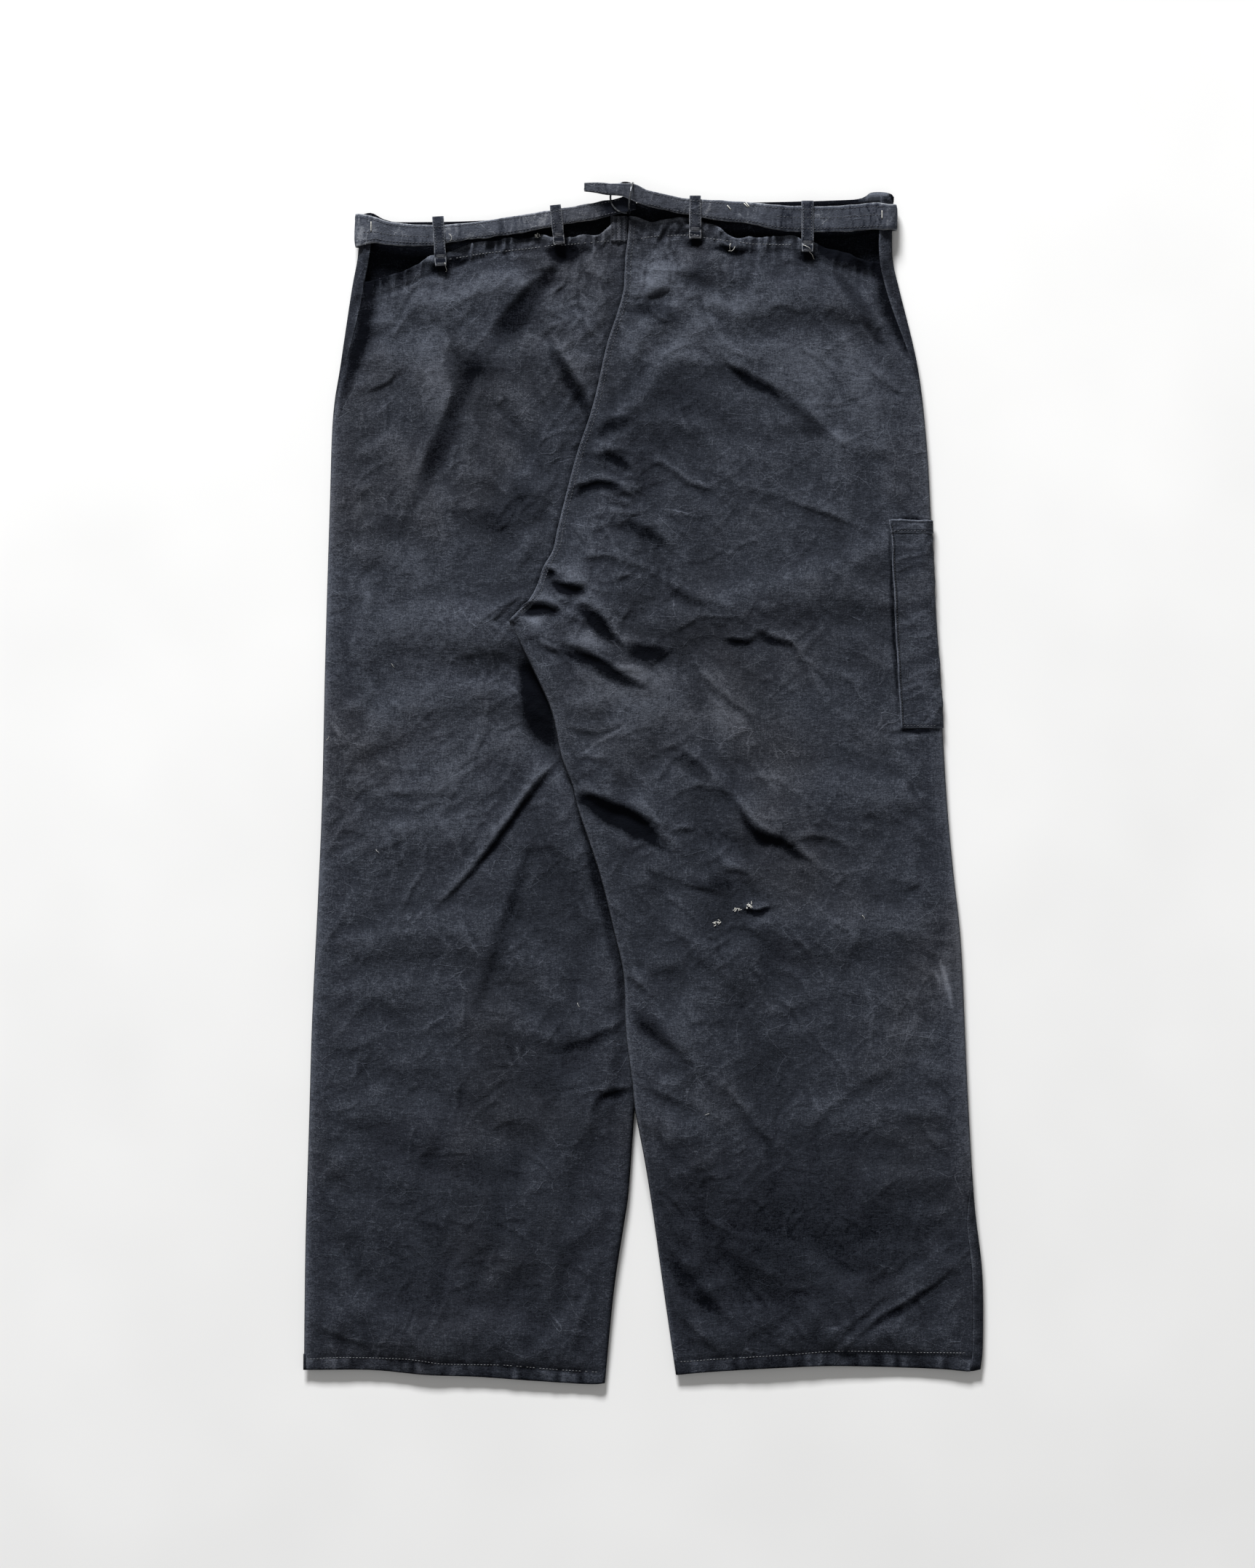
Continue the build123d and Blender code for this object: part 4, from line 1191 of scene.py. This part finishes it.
def ribbon(name, edges, columns, thick, shade, ruffle, seed):
    """A band between two edges: each row of edges is (x, z, low y, high y). It lies
    calm where the rings pass round it."""
    rows = along(edges, 1.1)
    t = np.linspace(0, 1, columns)[None, :]
    x = np.repeat(rows[:, :1], columns, 1)
    low, high = rows[:, 2:3], rows[:, 3:4]
    low = low + 0.7 * noise(rows[:, :1], low * 0, 11, seed)
    low = low + 0.3 * noise(rows[:, :1], low * 0, 5, seed)
    high = high + 0.5 * noise(rows[:, :1], high * 0, 9, seed + 1)
    y = low + (high - low) * t
    z = np.repeat(rows[:, 1:2], columns, 1)
    points = np.dstack([x, y, z]).reshape(-1, 3)
    normal = point_normals(points, quads(*x.shape))
    if normal[:, 2].sum() < 0:
        normal = -normal
    crimp = ruffle * (noise(x, y * 0.5, 9, seed + 2) + 0.7 * noise(x, y * 0.7, 5, seed + 3)
                      - 0.8 * ridges(x, y, 98, 18, 3.0, seed + 9))
    crown = 0.35 - 0.9 * np.abs(2 * t - 1) ** 6
    in_rings = np.exp(-((x - RING_X) / RING_CALM) ** 4)
    points += normal * ((crimp + crown) * (1 - in_rings) - 0.5 * in_rings).reshape(-1, 1)
    outer = points.reshape(*x.shape, 3)
    edge = np.clip(np.abs(2 * t - 1) * 10 - 8.9, 0, 1)
    bars = ridges(x, y, 76, 15, 2.6, seed + 5) ** 1.5 * patch(x, y, 16, seed + 7)
    cracks = ridges(x, y, 98, 18, 3.0, seed + 9) ** 2 * patch(x, y, 14, seed + 10)
    sewn = np.exp(-((np.abs(2 * t - 1) - 0.74) / 0.05) ** 2)
    wear = 1.7 * edge + 0.9 * bars - 1.0 * cracks - 0.7 * sewn + 0.1 * noise(x, y, 11, seed + 6)
    tone_and_shade = shade(x) + 0.1 * noise(x, y, 26, seed + 8)
    return cloth_shell(name, outer, thick, belt_duck, wear, tone_and_shade), outer


LEFT_STRAP = [
    (-258.0, 1.5, 491, 520), (-262.8, 4.5, 490.8, 520.5), (-263.8, 9.5, 490.6, 521),
    (-262.0, 14.6, 490.8, 521), (-255.5, 17.1, 492, 520.4), (-244, 17.4, 494.6, 517.5),
    (-228, 17.3, 492.6, 513), (-193, 17.3, 492, 510.6), (-159, 17.3, 497, 512.8),
    (-129, 17.3, 501, 517), (-85, 17.3, 508.5, 524), (-50, 17.3, 514.5, 530),
    (-30, 17.7, 519, 533.6), (-20, 18.9, 521.4, 535.6), (-13.5, 19.5, 523.2, 538),
    (-8.6, 19.1, 524.6, 539.6), (-6.0, 17.4, 525, 540), (-8.6, 15.5, 524.6, 539.6),
    (-18, 15.2, 522, 536.5), (-34, 15.2, 518.5, 532)]
RIGHT_STRAP = [
    (-53.7, 25.0, 540, 548.4), (-40, 25.2, 538.2, 548.4), (-28, 25.0, 536.6, 547.9),
    (-16, 25.0, 534.4, 547.6), (-6, 25.0, 530, 546.4), (4, 24.8, 526.8, 541.6),
    (12, 23.8, 525, 539.6), (26, 20.4, 522, 537), (41.6, 17.7, 519.5, 534.6),
    (65, 17.3, 515.5, 533.4), (100, 17.3, 511, 531), (122, 17.3, 505.8, 529),
    (146, 17.3, 504, 527.6), (177, 17.3, 504.5, 528), (206, 17.3, 506, 530.6),
    (220, 17.1, 506.5, 530.4), (227.8, 15.2, 506.6, 530), (231.6, 10.5, 506.6, 530),
    (231.8, 6.0, 506.6, 530), (228.6, 2.0, 507, 529.6)]
left_strap, left_strap_grid = ribbon(
    "left_strap", LEFT_STRAP, 25, 1.05, lambda x: -0.15 - 1.9 * ease((x + 56) / 34), 0.45, 200)
right_strap, right_strap_grid = ribbon(
    "right_strap", RIGHT_STRAP, 25, 1.7, lambda x: -0.35 - 0.2 * ease((x - 60) / 60), 0.45, 220)
cover.add(left_strap_grid)
cover.add(right_strap_grid)

LOOPS = [((-187.4, 518.5), (-184.7, 473.4)), ((-80.3, 529), (-76.6, 493)),
         ((47.5, 537.5), (47.5, 498.3)), ((150, 532.8), (150, 486))]


def belt_loop(name, top, low, seed):
    """A folded band that stands over the belt, sewn at its lower end."""
    top, low = np.array(top), np.array(low)
    length = np.linalg.norm(low - top)
    ahead = (low - top) / length
    side = np.array([-ahead[1], ahead[0]])
    profile = along([(7, 14.6), (2.6, 14.7), (0.4, 15.8), (0.2, 17.6), (1.6, 19.2), (5, 19.7),
                     (length * 0.5, 19.8), (length - 12, 19.3), (length - 8, 18.4),
                     (length - 2, 18.1), (length + 0.2, 17.0), (length - 0.6, 15.0),
                     (length - 4, 14.4), (length - 9, 14.6)], 0.9)
    t = np.linspace(-1, 1, 15)[None, :]
    s, z = profile[:, :1], profile[:, 1:2]
    width = LOOP_WIDTH / 2 * (1 + 0.05 * noise(s, s * 0, 9, seed))
    x = top[0] + ahead[0] * s + side[0] * width * t
    y = top[1] + ahead[1] * s + side[1] * width * t
    lift = -0.45 * np.abs(t) ** 4 + 0.25 * noise(x, y, 6, seed + 1)
    outer = np.dstack([x, y, z + lift * np.sign(profile[:, 1:2] - 16.4)])
    box_top, box_low = length - 7.0, length - 0.6
    bars = np.exp(-((s - box_top) / 0.8) ** 2) + np.exp(-((s - box_low) / 1.0) ** 2)
    rubbed = np.clip(np.abs(t) * 6 - 4.9, 0, 1)
    in_box = (s > box_top) & (s < box_low)
    wear = 1.5 * rubbed + 1.5 * bars + 0.4 * noise(x, y, 5, seed + 2) - 0.2
    tone_and_shade = np.where(in_box, -1.5 + 2.6 * rubbed + 2.2 * bars, -0.85 + 0.9 * rubbed) + 0 * t
    # The loop's tip and the step just above the sewn box are darkened as painted shade.
    tone_and_shade = tone_and_shade - 1.6 * (s > length + 0.1) - 0.8 * np.exp(-((s - box_top + 2.2) / 1.6) ** 2)
    piece = cloth_shell(name, outer, CLOTH, belt_duck, np.clip(wear, -1, 1.6), tone_and_shade)
    return piece, outer


loops = []
for number, (top, low) in enumerate(LOOPS, 1):
    piece, grid = belt_loop(f"loop_{number}", top, low, 240 + 10 * number)
    loops.append(piece)
    cover.add(grid)

tab_points = [(-22.0, 495.5), (-22.3, 508), (-22.3, 519.5)]
across = np.linspace(1, -1, 25)
tab_bars = np.exp(-((np.abs(across) - 0.78) / 0.10) ** 2)
tab, tab_grid = strip_on("back_tab", tab_points, 7.4 * across, 1.2 - 0.7 * np.abs(across) ** 8,
                         outside_duck, wear=1.5 * np.abs(across) ** 14 - 0.8 * tab_bars,
                         tone_and_shade=0.55 * np.cos(across * 9.5) + 0.2)
cover.add(tab_grid)

# ---- thigh pocket ----------------------------------------------------------------

right_tree = BVHTree.FromPolygons(right_grid.reshape(-1, 3).tolist(),
                                  quads(*right_grid.shape[:2]).tolist())


def pocket_edge(y):
    return 235.6 + (225 - 235.6) * (y - POCKET_LOW) / (POCKET_HIGH - POCKET_LOW)


def round_the_side(y, share, proud):
    """Points on the right leg from the pocket's edge round its side, proud of the cloth."""
    left = pocket_edge(y)
    side = right_side(y)
    turn = np.clip((share - 0.72) / 0.28, 0, 1)
    x = left + (side - left) * np.sin(np.clip(share / 0.9, 0, 1) * math.pi / 2)
    z = np.where(turn > 0, BACK_Z - 7.5 * turn, BACK_Z)
    points = []
    for place in zip(x.ravel(), y.ravel(), z.ravel()):
        near, normal, _, _ = right_tree.find_nearest(Vector(place))
        normal = normal if normal.x + normal.z > 0 else -normal
        points.append(near + normal * 0.001)
    found = np.array([list(p) for p in points]).reshape(*x.shape, 3)
    faces = quads(*x.shape)
    normals = point_normals(found.reshape(-1, 3), faces)
    if normals[:, 2].sum() < 0:
        normals = -normals
    proud = np.broadcast_to(proud, x.shape).reshape(-1, 1)
    return found + (normals * proud).reshape(found.shape)


def pocket_piece(name, low, high, rows, proud, thick, tone_and_shade):
    s = spread(rows, 0.5)[:, None]
    t = np.linspace(0, 1, 56)[None, :] ** 1.35
    y = low + (high - low) * s + 0 * t
    share = t + 0 * s
    near_left = (right_side(y) - pocket_edge(y)) * np.sin(np.clip(t / 0.9, 0, 1) * math.pi / 2)
    border = np.minimum(np.minimum(s, 1 - s) * (high - low), near_left)
    wrinkles = ridges(share * 52, y, 12, 34, 9, 263) - 0.35
    raised = proud + 0.8 * wrinkles * ease(border / 6) - 0.8 * np.exp(-border / 0.6)
    raised = raised - 0.3 * np.exp(-((border - POCKET_STITCH) / 0.8) ** 2)
    outer = round_the_side(y, share, raised + 0.15 * noise(share * 40, y, 14, 261))
    wear = 1.5 * np.exp(-(border / 0.9) ** 2) + 0.6 * wrinkles + 0.2 * noise(share * 40, y, 12, 262)
    wear = wear - 1.1 * np.exp(-((border - POCKET_STITCH) / 0.7) ** 2)
    return cloth_shell(name, outer, thick, outside_duck, wear, tone_and_shade), outer


pocket, pocket_grid = pocket_piece("thigh_pocket", POCKET_LOW, POCKET_HIGH, 110, 1.5, 1.2, 0.12)
cover.add(pocket_grid)
pocket_band, band_grid = pocket_piece("thigh_pocket_band", POCKET_HIGH - 12, POCKET_HIGH + 0.4, 19,
                                      2.4, 0.9, 0.15)
cover.add(band_grid)

# ---- fly on the floor side -------------------------------------------------------

FLAP_LOW, FLAP_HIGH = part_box("fly_flap")
STAND_LOW, STAND_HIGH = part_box("fly_button_stand")


def flat_piece(name, low, high, z, thick, step, holes, corner, material, up):
    """A flat piece with round holes and one round lower corner."""
    cols = int((high[0] - low[0]) / step) + 1
    rows = int((high[1] - low[1]) / step) + 1
    x, y = np.meshgrid(np.linspace(low[0], high[0], cols), np.linspace(low[1], high[1], rows))
    middle_x = (x[1:, 1:] + x[:-1, :-1]) / 2
    middle_y = (y[1:, 1:] + y[:-1, :-1]) / 2
    keep = np.ones(middle_x.shape, bool)
    for cx, cy in holes:
        keep &= np.hypot(middle_x - cx, middle_y - cy) > BUTTONHOLE
        off = np.hypot(x - cx, y - cy)
        pull = np.where(np.abs(off - BUTTONHOLE) < 0.8 * step,
                        BUTTONHOLE / np.maximum(off, 1e-6), 1)
        x, y = cx + (x - cx) * pull, cy + (y - cy) * pull
    if corner:
        cx, cy = high[0] - corner, low[1] + corner
        beyond = (middle_x > cx) & (middle_y < cy)
        keep &= ~(beyond & (np.hypot(middle_x - cx, middle_y - cy) > corner))
        off = np.hypot(x - cx, y - cy)
        edge = (x > cx) & (y < cy) & (np.abs(off - corner) < 0.8 * step)
        pull = np.where(edge, corner / np.maximum(off, 1e-6), 1)
        x, y = cx + (x - cx) * pull, cy + (y - cy) * pull
    wave = 0.12 * noise(x, y, 16, 281)
    wear = 0.4 * noise(x, y, 10, 282)
    return cloth_shell(name, np.dstack([x, y, z + wave]), thick, material, wear, 0.0, up=up,
                       keep=keep)


holes = [(BUTTON_X, y) for y in BUTTON_YS]
flap_low, flap_high = np.array(FLAP_LOW) / MM, np.array(FLAP_HIGH) / MM
stand_low, stand_high = np.array(STAND_LOW) / MM, np.array(STAND_HIGH) / MM
flap = flat_piece("fly_flap_cloth", flap_low, flap_high, flap_low[2] + 0.1, 0.9, 1.4, holes, 30.0,
                  outside_duck, False)
stand = flat_piece("fly_stand_cloth", stand_low, stand_high, stand_low[2] + 0.15, 0.9, 2.5, (),
                   0, outside_duck, False)

# ---- stitches, tacks and frayed threads ------------------------------------------

seam_stitches = Batch()
edge_stitches = Batch()
pale_stitches = Batch()
dark_stitches = Batch()
loop_tacks = Batch()
belt_tacks = Batch()
frays = Batch()
chance = np.random.RandomState(SEED)


def stitch_row(points, pitch=3.0, radius=0.3, batch=None, missed=0.0):
    """Stitches along a line on the cloth: each dips into it at both ends."""
    line = along(points, 0.5)
    per = int(pitch / 0.5)
    for start in range(0, len(line) - per, per):
        if chance.uniform() < missed:
            continue
        part = line[start:start + per - 1]
        chosen = part[[0, len(part) // 4, len(part) // 2, 3 * len(part) // 4, -1]]
        z = cover.top(chosen[:, 0], chosen[:, 1])
        height = np.array([-0.25, 0.12, 0.2, 0.12, -0.25])
        path = np.column_stack([chosen, z + height])
        (batch or seam_stitches).add(*tube_mesh(path, radius * np.array([0.7, 1, 1, 1, 0.7]), 5))


def on_curve(curve, low, high, offset=0.0, count=12):
    """Plan points down a leg, on a line given as x of y."""
    return [(float(curve(v)) + offset, float(v)) for v in np.linspace(low, high, count)]


for edge_line in (
        [(-177, 480), (-147, 485), (-106, 489.5), (-85, 492), (-50, 495), (-30, 496.5)],
        [(-2, 499), (11, 500.7), (41.6, 502), (65, 498), (101, 494), (137, 493)],
        [(-305, -526.5), (-276, -525), (-217, -526.5), (-181, -531), (-128, -532),
         (-86, -535.5), (-40, -538.5)],
        [(34, -529), (74, -526), (137, -522), (178, -519), (238, -520), (296, -520.6)]):
    stitch_row(edge_line, batch=edge_stitches, missed=0.08)
stitch_row(on_curve(seat_line, 156, 512, 1.3, 24))
stitch_row(on_curve(seat_line, 156, 512, 4.6, 24))
stitch_row([(pocket_edge(v) + POCKET_STITCH, v) for v in np.linspace(54, 238, 9)], 2.5, 0.38,
           dark_stitches)
stitch_row([(u, POCKET_LOW + POCKET_STITCH) for u in np.linspace(238, 270, 5)])
stitch_row([(u, POCKET_HIGH - 9.7) for u in np.linspace(229, 262, 5)])
for offset in (-5.6, -1.2, 1.4, 5.6):
    stitch_row([(-22.2 + offset, 496.5), (-22.2 + offset, 518.5)], 2.6)
for y in (497.2, 518.2):
    stitch_row([(-28, y), (-16.5, y)], 2.6)


def strap_line(edges, share):
    """Plan points along a strap's upper layer, at this share of its width."""
    return sorted((x, low + (high - low) * share) for x, z, low, high in edges if z > 16.9)


left_flat = LEFT_STRAP[4:14]
right_flat = RIGHT_STRAP[:16]
for share in (0.13, 0.87):
    stitch_row(strap_line(left_flat, share), 3.2)
    stitch_row([p for p in strap_line(right_flat, share) if p[0] < RING_X - RING_CLEAR], 3.2)
    stitch_row([p for p in strap_line(right_flat, share) if p[0] > RING_X + RING_CLEAR], 3.2)
stitch_row(strap_line(RIGHT_STRAP[11:16], 0.55), 3.2)
stitch_row(strap_line(LEFT_STRAP[4:8], 0.42), 3.2)
for top, low in LOOPS:
    for offset in (-3.6, 3.6):
        stitch_row([(top[0] + offset, top[1] - 4), (low[0] + offset, low[1] + 11)], 2.6)


def tack(batch, x, y, across, depth, count, radius, lift=0.15):
    """A bar of close parallel threads over a place."""
    for k in range(count):
        v = y + depth * (k / max(count - 1, 1) - 0.5)
        u = x + np.linspace(-across / 2, across / 2, 5)
        jitter = 0.25 * chance.uniform(-1, 1, 5)
        z = cover.top(u, v + jitter) + lift + np.array([-0.5, 0.1, 0.2, 0.1, -0.5])
        batch.add(*tube_mesh(np.column_stack([u, v + jitter, z]), radius, 5))


for top, low in LOOPS:
    tack(loop_tacks, low[0], low[1] + 8.6, 9.4, 2.2, 5, 0.33)
    tack(loop_tacks, low[0], low[1] + 1.6, 8.4, 1.2, 3, 0.33)
for x, low, high in ((-248.4, 504.5, 513.5), (218.0, 516.5, 523.5)):
    tack(belt_tacks, x, (low + high) / 2, 1.6, high - low, 14, 0.28)
    line = np.linspace(low, high, 7)
    z = cover.top(np.full(7, x), line) + 0.5
    pale_stitches.add(*tube_mesh(np.column_stack([np.full(7, x), line, z]), 0.42, 6))


def stray(x, y, length, radius, batch, curl=1.0, rise=1.5):
    """A loose thread end, wandering from a place."""
    heading = chance.uniform(0, 2 * math.pi)
    steps = 9
    path = []
    for k in range(steps):
        path.append((x, y))
        heading += curl * chance.uniform(-0.9, 0.9)
        x += length / steps * math.cos(heading)
        y += length / steps * math.sin(heading)
    plan = np.array(path)
    z = cover.top(plan[:, 0], plan[:, 1]) + radius
    z += rise * np.sin(np.linspace(0, math.pi * 0.8, steps)) * chance.uniform(0.2, 1)
    batch.add(*tube_mesh(np.column_stack([plan, z]), radius * np.linspace(1, 0.5, steps), 5))


for x, y, count in ((67.8, -126.7, 9), (86.8, -114.8, 8), (96.3, -111.0, 10), (-97, 502, 6)):
    for _ in range(count):
        stray(x + chance.uniform(-2.2, 2.2), y + chance.uniform(-1.6, 1.6),
              chance.uniform(2.5, 4.5), 0.38, frays, 1.6, 1.2)
for x, y in ((-176, 496), (-181, 476), (146, 492), (152, 486), (80, 494), (84, 491)):
    stray(x, y, 9, 0.3, frays, 0.6, 2.0)
for x, y in ((-244, -60), (-230, 110), (-290, 40), (200, -120), (60, -300), (-60, -200)):
    stray(x, y, 5, 0.2, frays, 0.5, 0.8)
for x, y, turn in ((78.4, 526.4, -0.9), (93.8, 528.6, -0.8), (95.4, 529.0, -0.9)):
    reach = np.linspace(-2.6, 2.6, 5)
    plan = np.column_stack([x + reach * math.cos(turn), y + reach * math.sin(turn)])
    z = cover.top(plan[:, 0], plan[:, 1]) + np.array([-0.2, 0.4, 0.5, 0.4, -0.2])
    pale_stitches.add(*tube_mesh(np.column_stack([plan, z]), 0.5, 6))

hole_rings = Batch()
for cx, cy in holes:
    angle = np.linspace(0, 2 * math.pi, 61)
    wobble = BUTTONHOLE + 0.5 + 0.35 * np.sin(30 * angle)
    ring_path = np.column_stack([cx + wobble * np.cos(angle), cy + wobble * np.sin(angle),
                                 np.full(61, flap_low[2] + 0.1)])
    hole_rings.add(*tube_mesh(ring_path, 0.32, 6))

stitches = seam_stitches.link("seam_stitches", navy_thread)
edge_threads = edge_stitches.link("edge_stitches", faded_thread)
pocket_threads = dark_stitches.link("pocket_stitches", dark_thread)
pale = pale_stitches.link("pale_stitches", pale_thread)
loop_threads = loop_tacks.link("loop_tack_threads", navy_thread)
belt_threads = belt_tacks.link("belt_tack_threads", navy_thread)
fray_threads = frays.link("frayed_threads", pale_thread)
hole_threads = hole_rings.link("buttonhole_threads", navy_thread)

# ---- camera, light and floor -----------------------------------------------------

PHOTO_HEIGHT = 2156
PIXEL = 0.665 * MM                   # what one of the picture's pixels covers at CLOTH_LEVEL
CAMERA_HEIGHT = 4.0
CAMERA_X = -0.0143
CLOTH_LEVEL = 0.012


def make_camera():
    camera = bpy.data.cameras.new("camera")
    holder = bpy.data.objects.new("camera", camera)
    bpy.context.scene.collection.objects.link(holder)
    holder.location = (CAMERA_X, 0.0, CAMERA_HEIGHT + CLOTH_LEVEL)
    camera.sensor_fit = "VERTICAL"
    camera.sensor_height = 36.0
    camera.sensor_width = 36.0
    camera.lens = 36.0 * CAMERA_HEIGHT / (PHOTO_HEIGHT * PIXEL)
    camera.clip_end = 50
    bpy.context.scene.camera = holder


def make_floor():
    n = Nodes("pale_floor")
    speck = n.noise(5.0, 2.0, (1, 1, 1), 0.5)
    n.feed(n.shader.inputs["Base Color"],
           n.mix(n.span(speck, 0.3, 0.7, 0, 1), (0.80, 0.80, 0.795, 1), (0.84, 0.84, 0.835, 1)))
    n.feed(n.shader.inputs["Roughness"], 0.75)
    n.feed(n.shader.inputs["Specular IOR Level"], 0.1)
    half = 6000
    floor = link("floor", [(-half, -half, 0), (half, -half, 0), (half, half, 0), (-half, half, 0)],
                 [[0, 1, 2, 3]], n.material, smooth=False)


def area_light(name, place, aim, size, watts, colour=(1, 1, 1)):
    light = bpy.data.lights.new(name, "AREA")
    light.shape = "RECTANGLE"
    light.size, light.size_y = size
    light.energy = watts
    light.color = colour
    holder = bpy.data.objects.new(name, light)
    holder.location = place
    direction = Vector(aim) - Vector(place)
    holder.rotation_euler = direction.to_track_quat("-Z", "Y").to_euler()
    bpy.context.scene.collection.objects.link(holder)


def make_light():
    area_light("window", (-1.5, 7.0, 3.7), (0, 0, 0), (2.6, 1.6), 1180, (0.99, 0.993, 1.0))
    area_light("overhead", (-0.3, -0.6, 3.4), (0, -0.2, 0), (3.0, 3.0), 16, (0.95, 0.975, 1.0))
    world = bpy.data.worlds.new("room")
    world.use_nodes = True
    world.node_tree.nodes["Background"].inputs["Color"].default_value = (1.0, 0.975, 0.94, 1)
    world.node_tree.nodes["Background"].inputs["Strength"].default_value = 0.20
    bpy.context.scene.world = world
    bpy.context.scene.view_settings.view_transform = "Standard"


make_camera()
make_floor()
make_light()

# ---- what each piece stands for --------------------------------------------------

CLOTH_PIECES = {
    left_back: ("left_back_panel", "left_back_casing"),
    right_back: ("right_back_panel", "right_back_casing"),
    left_front: ("left_front_panel", "left_side_seam", "left_inseam"),
    right_front: ("right_front_panel", "right_side_seam", "right_inseam"),
    seat_seam: ("seat_seam",),
    rise_seam: ("front_rise_seam",),
    **{piece: (side + "_leg_hem",) for side, pair in hem_pieces.items() for piece in pair},
    left_band: ("left_front_waistband",),
    right_band: ("right_front_waistband",),
    left_strap: ("left_belt_strap",),
    tab: ("centre_back_tab",),
    pocket: ("thigh_pocket_panel", "thigh_pocket_seam"),
    pocket_band: ("thigh_pocket_hem",),
    stand: ("fly_button_stand",),
    **{piece: (f"belt_loop_{number}",) for number, piece in enumerate(loops, 1)},
}
THREAD_PIECES = {
    stitches: (),
    edge_threads: (),
    pocket_threads: (),
    pale: (),
    fray_threads: (),
    loop_threads: ("loop_bar_tacks",),
    belt_threads: ("belt_bar_tacks",),
}
for group, slot_name in ((CLOTH_PIECES, "cloth"), (THREAD_PIECES, "thread")):
    for piece, nodes in group.items():
        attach(piece, "garment")
        if nodes:
            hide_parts(*nodes)
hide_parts("right_belt_strap", "belt_tail")
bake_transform(right_strap)
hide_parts("fly_flap")
for piece, slot_name in ((flap, "cloth"), (hole_threads, "thread")):
    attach(piece, "fly_placket")

for node, finish in (("upright_ring", ring_metal), ("flat_ring", ring_metal),
                     ("fly_buttons", button_metal), ("waist_button", button_metal)):
    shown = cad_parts[node]
    shown.data.materials.clear()
    shown.data.materials.append(finish)
